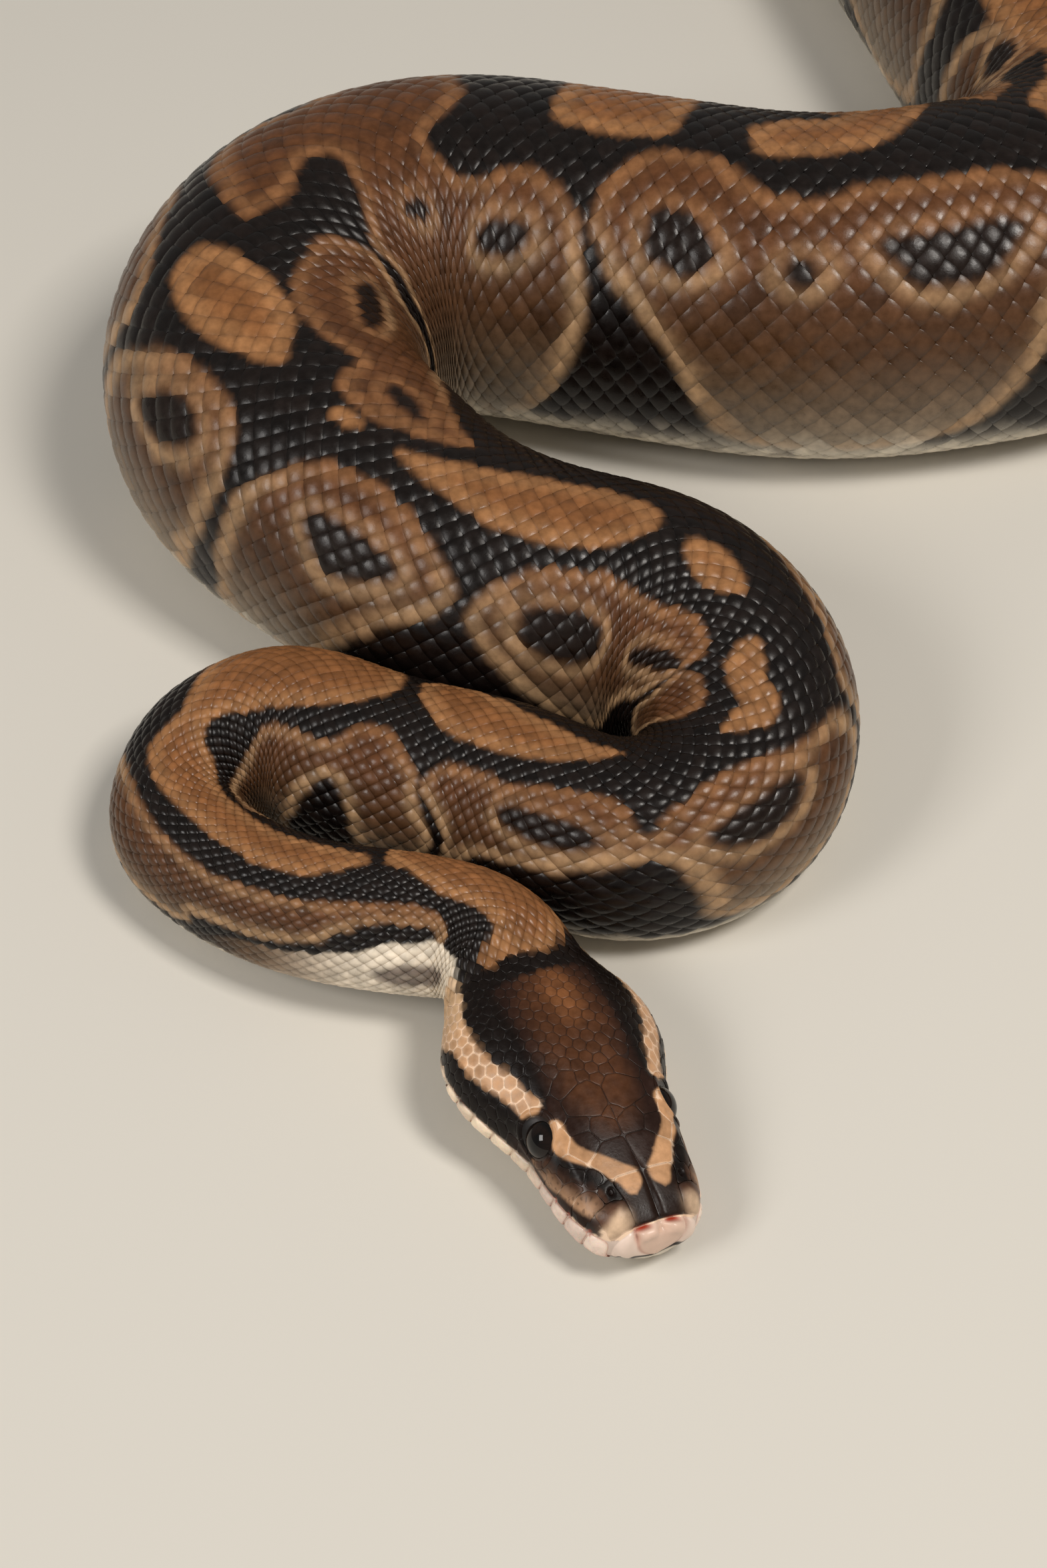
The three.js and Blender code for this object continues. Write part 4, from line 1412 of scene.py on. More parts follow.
@dataclass
class Mosaic:
    """Small scales that grow from scattered sites until they meet each other or a large plate."""

    sites: Array
    blocks: list[Array]
    most: float = 1.5  # the furthest a scale reaches from its site
    least_area: float = 0.45
    clearance: float = 0.4  # how far sites stay from a plate
    gap: float = 0.025
    rays: int = 18
    rounds: int = 4
    settling: float = 0.9  # share of the way to the cell's middle that each round moves a site

    def _reach(self) -> tuple[Array, Array]:
        """Returns ray directions and how far each scale reaches along them.

        A scale ends half way to each neighbour: at the square of the distance between the two over
        twice its share along the ray.

        Returns:
            The directions, and a row of lengths for each site.
        """
        rays = unit_rays(self.rays)
        way = self.sites[None] - self.sites[:, None]
        square = (way**2).sum(-1)
        share = way @ rays.T
        ahead = (share > 1e-6) & (square > 1e-9)[..., None]
        half = np.where(ahead, square[..., None] / np.where(ahead, 2 * share, 1.0), FAR).min(1)
        reach = np.minimum(half, self.most)
        if self.blocks:
            reach = np.minimum(reach, ray_reach(self.sites, rays, self.blocks))
        return rays, reach

    def grow(self) -> tuple[Array, Array]:
        """Settles the sites and returns them with their outlines, leaving out slivers.

        Each round moves every site most of the way to the middle of its own cell.

        Returns:
            The sites, and outlines as offsets from them.
        """
        clear = np.ones(len(self.sites), bool)
        for block in self.blocks:
            clear &= signed_distance(block, *self.sites.T) < -self.clearance
        self.sites = self.sites[clear]
        for _ in range(self.rounds):
            rays, reach = self._reach()
            tip = rays[None] * reach[..., None]
            other = np.roll(tip, -1, 1)
            area = 0.5 * (tip[..., 0] * other[..., 1] - tip[..., 1] * other[..., 0])
            middle = (area[..., None] * (tip + other)).sum(1) / 3 / area.sum(1)[:, None]
            self.sites = self.sites + middle * self.settling
        rays, reach = self._reach()
        area = 0.5 * (reach * np.roll(reach, -1, 1)).sum(1) * math.sin(2 * math.pi / self.rays)
        keep = area > self.least_area
        reach = inset(reach[keep], self.gap, 0)
        return self.sites[keep], rays[None] * reach[..., None]


SITE_SCATTER = 0.14


def hex_sites(s_range: tuple[float, float], reach: float, step: float, row: float,
              rng: np.random.Generator) -> Array:
    """Returns sites in staggered rows, the same distance apart, slightly scattered.

    Args:
        s_range: first and last distance from the snout.
        reach: how far the rows spread to each side.
        step: distance between sites in a row.
        row: distance between rows.
        rng: the source of scatter.

    Returns:
        The sites, two columns.
    """
    rows = np.arange(-math.floor(reach / row), math.floor(reach / row) + 1)
    places = np.arange(math.ceil((s_range[1] - s_range[0]) / step))
    s = s_range[0] + (places[None] + 0.5 * (rows[:, None] % 2)) * step
    q = rows[:, None] * row + 0 * s
    sites = np.stack([s.ravel(), q.ravel()], axis=1)
    return sites + rng.uniform(-SITE_SCATTER, SITE_SCATTER, sites.shape)


# The large plates of the head's right side, by distance from the snout and arc from the middle line
# of the snout.
PLATES: dict[str, tuple[float, ...]] = {
    "internasal": (1.9, 0.12, 1.5, 1.2, 1.55, 2.9, 2.3, 3.7, 5.2, 4.0, 7.6, 4.7, 8.3, 4.3, 8.3, 0.12),
    "prefrontal": (8.4, 0.12, 8.4, 4.4, 9.2, 5.4, 11.2, 6.4, 12, 5, 13.3, 3.3, 13.3, 0.12),
    "prefrontal_outer": (12.1, 5.1, 13.4, 3.4, 15.3, 4.3, 15.6, 7, 13.9, 8.2, 11.4, 6.6),
    "preocular": (13.9, 8.3, 15.6, 7.1, 17.2, 7.5, 17.9, 9.2, 16.4, 10, 15.1, 10.1, 14.1, 9.6),
    "brow_front": (15.4, 4.3, 17.2, 3.6, 18, 6.2, 17.3, 7.3, 15.7, 6.9),
    "centre_front": (13.4, 0.12, 13.4, 3.2, 15.2, 4.1, 16.8, 3.2, 16.4, 1.6, 15.6, 0.12),
    "canthal": (11.4, 6.8, 13.8, 8.3, 14, 9.7, 13.2, 10, 11.9, 8.6, 10.6, 7),
    "median": (15.8, 0.12, 16.6, 1.5, 16.9, 1.6, 17.8, 0.35, 17.8, 0.12),
    "frontal": (18, 0.3, 20.8, 0.1, 22.3, 1.5, 21.9, 3, 20.9, 5.2, 20.6, 6.3, 18.4, 6.1, 17.3, 3.8,
                16.9, 1.7),
    "supraocular": (18.3, 6.4, 20.7, 6.5, 22.2, 7.4, 21.2, 8.3, 20.0, 7.75, 18.6, 7.55, 17.6, 7.6, 17.5,
                    7.3),
    "parietal_inner": (22.2, 3, 24.1, 2.6, 24.8, 4.4, 23.6, 6, 22.4, 7, 21, 6.2, 21.2, 5.2),
    "parietal_outer": (22.6, 7.2, 23.9, 6.1, 25.9, 6.9, 25.7, 8.7, 23.6, 9.2, 22.4, 8.6),
    "nasal_front": (2.2, 3.9, 5.1, 4.2, 5.6, 5.6, 5.3, 8.8, 3.3, 8.5, 2, 6.4, 1.6, 4.7),
    "nasal_rear": (5.3, 4.2, 7.6, 4.9, 8.2, 5.6, 8.3, 6.9, 7, 7.2, 5.8, 6.6, 5.7, 5.5),
    "loreal_front": (5.5, 7, 7, 7.4, 8.3, 8.2, 8.6, 10.2, 7.9, 12.3, 4.9, 10, 5.4, 8.9),
    "loreal_middle": (8.5, 8.4, 10.6, 9.6, 11.2, 11, 11, 13.9, 8.1, 12.4, 8.8, 10.3),
    "loreal_rear": (11.3, 11.1, 13.3, 11.4, 14.1, 12.6, 14, 15, 11.2, 14),
    "suborbital": (14.4, 13.2, 15.4, 13.6, 16.6, 14.8, 17, 15.8, 14.2, 15.2),
}
LIP_CUTS = (1.8, 5.1, 8.9, 12.2, 15.3, 18.5, 21.7, 25, 28.3, 31.5, 34.5)
LOWER_LIP = 2.5  # how deep the lower lip's scales are
LOWER_CUTS = (1.6, 3.6, 5.8, 8.1, 10.4, 12.7, 15.0, 17.4, 19.8, 22.2, 24.7, 27.3, 30.0, 32.6, 35.2)
LIP_SEAM = (0.14, 0.16)  # how far the upper and the lower lip's scales stay from the mouth line
LIP_LEAN = 0.7  # how far the top of an upper lip scale lies in front of its foot
EYE_RING = (2.75, 3.8, 10)  # inner and outer radius of the scales round the eye, and how many
HEAD_SKIRT = 45.0  # where the small scales of the head stop
SNOUT_END = 1.75  # where they and the plates begin, behind the rostral plate


def arc_block(top: Array, bottom: Array) -> Array:
    """Returns a closed outline from an edge and an opposite edge, both in order of distance."""
    return np.concatenate([top, bottom[::-1]])


@dataclass
class ScaleSheet:
    """Scales that are put into the scene as one piece."""

    name: str
    chart: Chart
    centre: Array  # roots, two columns
    outline: Array  # offsets from the root: one layer for each scale
    profile: Profile


@dataclass
class Shells:
    """The closed shells of a sheet of scales, worked out on the body's form.

    Each scale has a middle, rings out to its edge, and a back. A ring lies at a share of each ray's
    length, at the profile's height there. The back is one point under the middle.
    """

    form: Form
    sheet: ScaleSheet

    def __post_init__(self) -> None:
        """Works out points, places and shares of the way to the edge, one row for each scale."""
        sheet = self.sheet
        rings, self.count = sheet.profile.rings, sheet.outline.shape[1]
        f = np.concatenate([[0.0], np.repeat(rings, self.count), [0.0]])
        zero = np.zeros((len(sheet.centre), 1, 2))
        self.offset = np.concatenate([zero, *[sheet.outline * r for r in rings], zero], axis=1)
        self.s, self.p = self._place()
        lift = sheet.profile.lift(f[None], self.offset[..., 0])
        lift[:, -1] = -sheet.profile.sink - SHELL_BACK
        self.point = self.form.lifted(self.s, self.p, lift)
        self.f = np.broadcast_to(f, self.s.shape)
        self.q = wrapped(self.p) * self.form.half_girth(self.s)

    def _place(self) -> tuple[Array, Array]:
        """Returns distance and share of girth for the offsets from the roots.

        Returns:
            Both, one row for each scale.
        """
        root = self.sheet.centre[:, None]
        s = np.maximum(root[..., 0] + self.offset[..., 0], 0.02)
        if self.sheet.chart is Chart.ROWS:
            return s, root[..., 1] + self.offset[..., 1] / self.form.half_girth(root[..., 0])
        share = (root[..., 1] + self.offset[..., 1]) / self.form.half_girth(s)
        return s, share + (self.sheet.chart is Chart.THROAT)


def shell_faces(rings: int, count: int, shells: int = 1) -> tuple[Array, Array]:
    """Returns the corners of all faces of closed shells, and how many corners each face has.

    A shell's vertices are a first point, rings of count points, and a last point. A fan of
    triangles round each end point and quads between the rings close it.

    Args:
        rings: number of rings in a shell.
        count: points in a ring.
        shells: number of shells.

    Returns:
        The numbers of the vertices at the corners, one face after another, and the count for each face.
    """
    here = np.arange(count)
    after = (here + 1) % count
    start = 1 + np.arange(rings - 1)[:, None] * count
    last = 1 + rings * count
    top = np.stack([0 * here, 1 + here, 1 + after], axis=1)
    walls = np.stack([start + here, start + count + here, start + count + after, start + after], -1)
    back = np.stack([last + 0 * here, last - count + after, last - count + here], axis=1)
    flat = np.concatenate([top.ravel(), walls.ravel(), back.ravel()])
    sizes = np.repeat([3, 4, 3], [count, count * (rings - 1), count])
    shift = np.arange(shells)[:, None] * (last + 1)
    return (flat[None] + shift).ravel(), np.tile(sizes, shells)


def add_object(name: str, data: bpy.types.ID) -> bpy.types.Object:
    """Returns a new object that holds the data, at the origin and linked to the scene.

    Args:
        name: what it is called.
        data: its mesh, light or camera.

    Returns:
        The object.
    """
    obj = bpy.data.objects.new(name, data)
    bpy.context.scene.collection.objects.link(obj)
    return obj


def make_mesh(name: str, points: Array, corner: Array, sizes: Array, tones: Array,
              chart: Array) -> bpy.types.Object:
    """Puts arrays into a new mesh object, with its colours and its bake map.

    Args:
        name: the piece's name.
        points: vertices in millimetres.
        corner: the vertex of each face corner, face by face.
        sizes: how many corners each face has.
        tones: a linear colour for each vertex.
        chart: a place on the bake map for each face corner, from 0 to 1.

    Returns:
        The object, at the origin and linked to the scene.
    """
    mesh = bpy.data.meshes.new(name)
    mesh.vertices.add(len(points))
    mesh.vertices.foreach_set("co", (points * MM).astype(np.float32).ravel())
    mesh.loops.add(len(corner))
    mesh.loops.foreach_set("vertex_index", corner.astype(np.int32))
    mesh.polygons.add(len(sizes))
    starts = np.concatenate([[0], np.cumsum(sizes)[:-1]])
    mesh.polygons.foreach_set("loop_start", starts.astype(np.int32))
    mesh.update(calc_edges=True)
    mesh.shade_smooth()
    layer = mesh.color_attributes.new(TONE, "FLOAT_COLOR", "POINT")
    rgba = np.concatenate([np.clip(tones, 0, 1), np.ones((len(points), 1))], axis=1)
    layer.data.foreach_set("color", rgba.astype(np.float32).ravel())
    uv = mesh.uv_layers.new(name=BAKE_MAP)
    uv.data.foreach_set("uv", np.clip(chart, 0, 1).astype(np.float32).ravel())
    return add_object(name, mesh)


# ---- the pieces of the snake -------------------------------------------------------------

FLESH = ("head", "jaw", "neck", *(f"trunk_{k}" for k in range(1, 14)), "tail")


@dataclass
class Skin:
    """One closed skin under all the scales, from the snout to the tip of the tail."""

    form: Form
    pattern: Pattern
    head: HeadPattern
    around: int = 128
    snout: tuple[float, float, int] = (0.03, 2.0, 60)  # first and last of the close rings, and count
    fine_step: float = 0.42
    coarse_step: float = 2.1
    tail_gap: float = 0.4  # from the last ring to the tip of the tail
    between: float = 0.62  # tone of the skin between scales against the scales
    lip_share: float = 0.8  # and between those of the lips
    nape: float = 4.0  # how far behind the head its markings fade out
    groove: tuple[float, float] = (0.5, 0.45)  # half width and depth of the mouth line
    nostril: tuple[float, float] = (1.2, 1.0)  # reach and depth of the skin's hollow
    crown_reach: float = 19.5  # arc within which seams between pale plates are pale

    def _rings(self) -> Array:
        """Returns the distances of the rings, closest at the tip of the snout.

        Returns:
            The distances, rising.
        """
        first, end, count = self.snout
        last = TOTAL_LENGTH - self.tail_gap
        return np.concatenate([first + (end - first) * np.linspace(0, 1, count) ** 2,
                               np.arange(end + self.fine_step, HEAD_END, self.fine_step),
                               np.arange(HEAD_END, last, self.coarse_step), [last]])

    def _lift(self, s: Array, q: Array) -> Array:
        """Returns the height of the skin over the outer form.

        It lies a coat's depth inside, but fills out to form the rostral plate at the snout's tip,
        and sinks under the nostrils, the eyes' rims and the mouth line.

        Args:
            s: distances from the snout.
            q: arcs from the middle of the back.

        Returns:
            The heights, negative inside the form.
        """
        arc, lip, spread = np.abs(q), mouth_arc(s), mouth_spread(s)
        rostral = smoothstep(1.5, 1.25, s) * smoothstep(lip - 0.1, lip - 0.5, arc)
        (reach, sink), (width, groove) = self.nostril, self.groove
        t = np.abs(q - head_midline(s))
        nostril = bell(s, NOSTRIL[0] - 0.1, reach) * bell(t, NOSTRIL[1], reach)
        mouth = bell(arc, lip, width * spread) * smoothstep(36, 34, s) / spread
        depth = HEAD_COAT_DEPTH + (COAT_DEPTH - HEAD_COAT_DEPTH) * smoothstep(42, 48, s)
        return -depth + HEAD_COAT_DEPTH * rostral - sink * nostril - groove * mouth

    def tones(self, s: Array, q: Array) -> Array:
        """Returns the skin's colours, darker than the scales over it but pale round pale plates.

        Args:
            s: distances from the snout.
            q: arcs from the middle of the back.

        Returns:
            Linear colours, with red, green and blue as the last axis.
        """
        grain, jitter = 0 * s + 0.5, 0 * s
        colour = self.pattern.body(s, q, jitter, grain)
        front = s < HEAD_END + self.nape
        plates = self.head.colour(s[front], q[front], grain[front], jitter[front])
        share = smoothstep(HEAD_END + self.nape, HEAD_END, s[front])
        colour[front] = blend(colour[front], plates, share)
        arc = np.abs(q)
        lips = (s < 36) & (arc > lip_top(s))
        bare = (s < 1.5) & (arc < mouth_arc(s) - 0.3)
        shade = np.where(bare, 1.0, np.where(lips, self.lip_share, self.between))
        crown = (s > 1.5) & (s < HEAD_END) & (arc < self.crown_reach) & ~bare & ~lips
        return blend(colour * shade[:, None], Tones.STRIPE_RIM, paleness(colour) * crown)

    def build(self) -> bpy.types.Object:
        """Sweeps rings of points down the body, joins them, and closes both ends.

        Returns:
            The skin.
        """
        rings, count = self._rings(), self.around
        share = -1 + 2 * np.arange(count) / count
        s, p = np.meshgrid(rings, share, indexing="ij")
        q = p * self.form.half_girth(s)
        points = self.form.lifted(s, p, self._lift(s, q)).reshape(-1, 3)
        tones = self.tones(s.ravel(), q.ravel())
        ends = points[:count].mean(0)[None], points[-count:].mean(0)[None]
        return make_mesh("skin", np.concatenate([ends[0], points, ends[1]]),
                         *shell_faces(len(rings), count),
                         np.concatenate([tones[:1], tones, tones[-1:]]),
                         self._chart(len(rings), count))

    @staticmethod
    def _chart(rows: int, count: int) -> Array:
        """Returns the place of each face corner on the bake map: u by ring, and v round the body.

        Args:
            rows: number of rings.
            count: points in a ring.

        Returns:
            The places, two columns, in the order of the face corners.
        """
        u = 0.02 + 0.96 * np.arange(rows) / (rows - 1)
        v = np.arange(count + 1) / count
        near, far, middle = v[:-1], v[1:], (v[:-1] + v[1:]) / 2
        uu = np.stack([u[:-1], u[1:], u[1:], u[:-1]], axis=1)[:, None].repeat(count, 1)
        vv = np.stack([near, near, far, far], axis=1)[None].repeat(rows - 1, 0)
        wall = np.stack([uu.ravel(), vv.ravel()], axis=1)
        snout, tail = (
            np.stack([np.tile([end, rim, rim], count), np.stack([middle, *sides], 1).ravel()], axis=1)
            for end, rim, sides in ((0.0, u[0], (near, far)), (1.0, u[-1], (far, near))))
        return np.concatenate([snout, wall, tail])


@dataclass
class BodyCoat:
    """The rows of smooth overlapping scales on the neck, trunk and tail, and the belly scutes."""

    form: Form
    pattern: Pattern
    side_rows: int = 27  # rows on each side of the middle row
    spread: float = 0.82  # share of the half girth that the rows cover
    pitch: tuple[float, float] = (1.4, 0.08)  # length of a scale: a set part, and for each half width
    least_pitch: float = 1.5
    overlap: tuple[float, float] = (0.56, 1.06)  # half length over the pitch, half width over the row
    corners: int = 12
    far_corners: int = 8
    far_from: float = 470.0  # behind this the scales have fewer corners
    square: float = 1.4
    tail_rows: int = 13
    tail_pitch_share: float = 0.40
    start: float = HEAD_END + 0.6
    ends: tuple[float, float] = (1.2, 3.0)  # from the last scale and the last scute to the tip
    scute_reach: float = 0.205
    scute_shape: tuple[int, float] = (24, 6.0)  # corners and squareness
    cuts: tuple[float, ...] = (HEAD_END, 112, 200, 330, 480, 690, 890, VENT)
    step: float = 0.25  # step of the walk that lays out the rows

    def _length(self, s: Array, tail: bool) -> Array:
        """Returns the length of a scale: a set part and a share of the half width."""
        half = self.form.half_width(s)
        return half * self.tail_pitch_share if tail else self.pitch[0] + self.pitch[1] * half

    def _places(self, start: float, end: float, tail: bool = False) -> Array:
        """Returns distances at half-pitch steps from start to end.

        Args:
            start: the first distance from the snout.
            end: where the steps stop.
            tail: whether the pitch is that of the tail.

        Returns:
            The distances.
        """
        line = np.arange(start, end, self.step)
        pitch = np.maximum(self._length(line, tail), self.least_pitch)
        phase = np.concatenate([[0.0], np.cumsum(self.step / pitch)[:-1]])
        return np.interp(np.arange(0, phase[-1], 0.5), phase, line)

    def _rows(self, start: float, end: float, rows: int,
              tail: bool = False) -> tuple[Array, Array]:
        """Returns the roots of scales in staggered rows, and their half lengths and half widths.

        Args:
            start: the first distance from the snout.
            end: where the scales stop.
            rows: rows on each side of the middle row.
            tail: whether the scales are those of the tail.

        Returns:
            Roots by distance and share of girth, and sizes in millimetres.
        """
        places = self._places(start, end, tail)
        k, j = np.meshgrid(np.arange(len(places)), np.arange(-rows, rows + 1), indexing="ij")
        own = (k % 2) == (j % 2)
        s, p = places[k[own]], j[own] / rows * self.spread
        length = np.maximum(self._length(s, tail), self.least_pitch) * self.overlap[0]
        width = self.form.half_girth(s) * self.spread / rows * self.overlap[1]
        return np.stack([s, p], axis=1), np.stack([length, width], axis=1)

    def _sheet(self, name: str, roots: Array, size: Array, count: int) -> ScaleSheet:
        """Returns overlapping scales with a set number of corners."""
        shape = superellipse(count, self.square)
        return ScaleSheet(name, Chart.ROWS, roots, shape[None] * size[:, None], BODY_PROFILE)

    def sheets(self) -> list[ScaleSheet]:
        """Returns the scale sheets, cut into lengths that keep each under the limit.

        Returns:
            The sheets, from the neck to the tail.
        """
        roots, size = self._rows(self.start, VENT, self.side_rows)
        found = []
        for k, (low, high) in enumerate(zip(self.cuts[:-1], self.cuts[1:])):
            part = (roots[:, 0] >= low) & (roots[:, 0] < high)
            count = self.corners if low < self.far_from else self.far_corners
            found.append(self._sheet(f"body_scales_{k + 1}", roots[part], size[part], count))
        tail = self._rows(VENT, TOTAL_LENGTH - self.ends[0], self.tail_rows, tail=True)
        return [*found, self._sheet("tail_scales", *tail, self.far_corners)]

    def scutes(self) -> ScaleSheet:
        """Returns the broad scutes of the belly, one behind another.

        Returns:
            The sheet of scutes.
        """
        places = self._places(self.start, TOTAL_LENGTH - self.ends[1])[::2]
        length = self._length(places, tail=False) * self.overlap[0]
        width = self.form.half_girth(places) * self.scute_reach
        size = np.stack([length, width], axis=1)
        roots = np.stack([places, 0 * places], axis=1)
        return ScaleSheet("belly_scutes", Chart.THROAT, roots,
                          superellipse(*self.scute_shape)[None] * size[:, None], SCUTE_PROFILE)


@dataclass
class HeadCoat:
    """The plates of the head: large ones on the snout and brow, small ones behind, and the lips."""

    form: Form
    rng: np.random.Generator
    plate_rays: int = 60
    plate_gap: float = 0.025
    plate_bridge: float = 1.1  # bare skin narrower than this is shared out between the plates
    far_side: float = 60.0  # an arc beyond the side of the head
    # Fields of small scales: distances, reach to each side, distance in a row and between rows.
    crown_fields: tuple[tuple[Range, float, float, float], ...] = (
        ((2.0, 36.0), 22, 1.98, 1.62), ((37.2, HEAD_SKIRT), 21, 1.66, 1.36))
    throat_field: tuple[Range, float, float, float] = ((2.2, HEAD_SKIRT), 18, 2.3, 1.75)

    def _blocks(self) -> dict[str, Array]:
        """Returns the outlines of the large plates of both sides, in distance and arc.

        Returns:
            The outlines, by name and side.
        """
        found = {}
        for name, flat in PLATES.items():
            points = corners(flat)
            for side, outline in (("right", points), ("left", mirrored(points))):
                shifted = outline + np.stack([0 * outline[:, 0], head_midline(outline[:, 0])], axis=1)
                found[f"{name}_{side}"] = shifted
        return found

    def _drawn(self, outline: Array) -> tuple[Array, Array, Array]:
        """Returns the middle of an outline, rays from it, and how far each runs to the outline.

        The middle is the mean of the corners weighted by the sides that meet there.

        Args:
            outline: corners of a plate, two columns.

        Returns:
            The middle, the rays, and a length for each ray.
        """
        rays = unit_rays(self.plate_rays)
        other = np.roll(outline, -1, 0)
        area = outline[:, 0] * other[:, 1] - outline[:, 1] * other[:, 0]
        middle = ((outline + other) * area[:, None]).sum(0) / (3 * area.sum())
        return middle, rays, ray_reach(middle[None], rays, [outline])[0]

    def _grown(self, outlines: dict[str, Array], walls: list[Array]) -> dict[str, Array]:
        """Returns the plates spread over the bare skin between them.

        A ray that would cross less than a set gap before the next plate ends half way over, and
        one that would cross as little before a wall ends at the wall.

        Args:
            outlines: the plates, by name.
            walls: outlines that the plates stop at.

        Returns:
            The spread plates, by name.
        """
        found = {}
        for name, outline in outlines.items():
            middle, rays, own = self._drawn(outline)
            others = [line for key, line in outlines.items() if key != name]
            half = ray_reach(middle[None], rays, others)[0] - own
            whole = ray_reach(middle[None], rays, walls)[0] - own
            spread = np.minimum(np.where(half < self.plate_bridge, half / 2, FAR),
                                np.where(whole < self.plate_bridge, whole, FAR))
            spread = np.where(spread < FAR, np.maximum(spread, -0.4), 0.0)
            for _ in range(2):
                spread = (np.roll(spread, 1) + 2 * spread + np.roll(spread, -1)) / 4
            found[name] = middle + rays * (own + spread)[:, None]
        return found

    @staticmethod
    def _ring() -> list[Array]:
        """Returns the small plates round the right eye, as parts of a ring.

        Returns:
            Closed outlines, by distance from the snout and arc.
        """
        inner, outer, count = EYE_RING
        found = []
        for k in range(count):
            turn = np.linspace(k, k + 1, 5) * 2 * math.pi / count + 0.3
            way = np.stack([np.cos(turn), np.sin(turn)], axis=1)
            found.append((arc_block(way * inner, way * outer) + [EYE_ALONG, EYE_ARC])[::-1])
        return found

    @staticmethod
    def _upper_lip() -> list[Array]:
        """Returns the scales of the upper lip on the right, which lean towards the snout.

        Returns:
            Closed outlines, by distance from the snout and arc.
        """
        found = []
        for start, end in zip(LIP_CUTS[:-1], LIP_CUTS[1:]):
            foot = np.linspace(start, end, 7)
            top = foot - LIP_LEAN * smoothstep(1.8, 5, foot)
            found.append(arc_block(np.stack([top, lip_top(top)], 1),
                                   np.stack([foot, mouth_arc(foot) - LIP_SEAM[0]], 1)))
        return found

    @staticmethod
    def _lower_lip() -> list[Array]:
        """Returns the scales of the lower lip on the right.

        Returns:
            Closed outlines, by distance from the snout and arc.
        """
        found = []
        for start, end in zip(LOWER_CUTS[:-1], LOWER_CUTS[1:]):
            rim = np.linspace(start, end, 7)
            high = mouth_arc(rim) + LIP_SEAM[1]
            found.append(arc_block(np.stack([rim, high], 1), np.stack([rim, high + LOWER_LIP], 1)))
        return found

    def _plate_sheet(self, name: str, outlines: list[Array], profile: Profile) -> ScaleSheet:
        """Returns a sheet of large plates, each drawn by rays from its middle.

        Args:
            name: what the sheet is called.
            outlines: the plates.
            profile: their height from middle to edge.

        Returns:
            The sheet.
        """
        centre, offset = [], []
        for outline in outlines:
            middle, rays, reach = self._drawn(outline)
            centre.append(middle)
            offset.append(rays * inset(reach[None], self.plate_gap, 1)[0][:, None])
        return ScaleSheet(name, Chart.CROWN, np.array(centre), np.array(offset), profile)

    def _strip(self, start: float, end: float) -> Array:
        """Returns a strip right across the head between two distances."""
        far = self.far_side
        return np.array([[start, -far], [end, -far], [end, far], [start, far]])

    def _walls(self) -> list[Array]:
        """Returns what the scales of the crown stop at: the eyes, the lips and the snout's tip.

        Returns:
            Closed outlines, by distance from the snout and arc.
        """
        eye = unit_rays(24) * EYE_RING[1] + [EYE_ALONG, EYE_ARC]
        behind = np.array([36.0, 40, 44, 50])
        lip = np.concatenate([np.array(LIP_TOP), np.stack([behind, mouth_arc(behind)], 1),
                              [[behind[-1], self.far_side], [LIP_TOP[0][0], self.far_side]]])
        return [eye, eye * [1, -1], *both_sides([lip]), self._strip(-5, SNOUT_END)]

    def _throat(self) -> tuple[Array, Array]:
        """Returns the small scales under the jaw, by arc from the middle of the belly.

        Returns:
            The sites, and outlines as offsets from them.
        """
        s = np.linspace(1.8, 50, 40)
        taken = np.where(s < 35.5, LOWER_LIP + 0.2, 0.05)
        edge = self.form.half_girth(s) - mouth_arc(s) - taken
        jaw = np.concatenate([np.stack([s, edge], 1), [[s[-1], 40], [s[0], 40]]])
        walls = [*both_sides([jaw]), self._strip(HEAD_SKIRT, 70), self._strip(-5, SNOUT_END)]
        return Mosaic(hex_sites(*self.throat_field, self.rng), walls).grow()

    def sheets(self) -> list[ScaleSheet]:
        """Returns every sheet of the head.

        Returns:
            The sheets, in the order in which they are built.
        """
        walls = self._walls()
        large = list(self._grown(self._blocks(), walls).values())
        sites = np.concatenate([hex_sites(*row, self.rng) for row in self.crown_fields])
        crown = Mosaic(sites, [*large, *walls, self._strip(HEAD_SKIRT, 70)]).grow()
        return [
            self._plate_sheet("head_plates", large, PLATE_PROFILE),
            self._plate_sheet("eye_rings", both_sides(self._ring()), PLATE_PROFILE),
            self._plate_sheet("upper_lip", both_sides(self._upper_lip()), LIP_PROFILE),
            self._plate_sheet("lower_lip", both_sides(self._lower_lip()), LIP_PROFILE),
            ScaleSheet("crown_scales", Chart.CROWN, *crown, CELL_PROFILE),
            ScaleSheet("throat_scales", Chart.THROAT, *self._throat(), CELL_PROFILE),
        ]


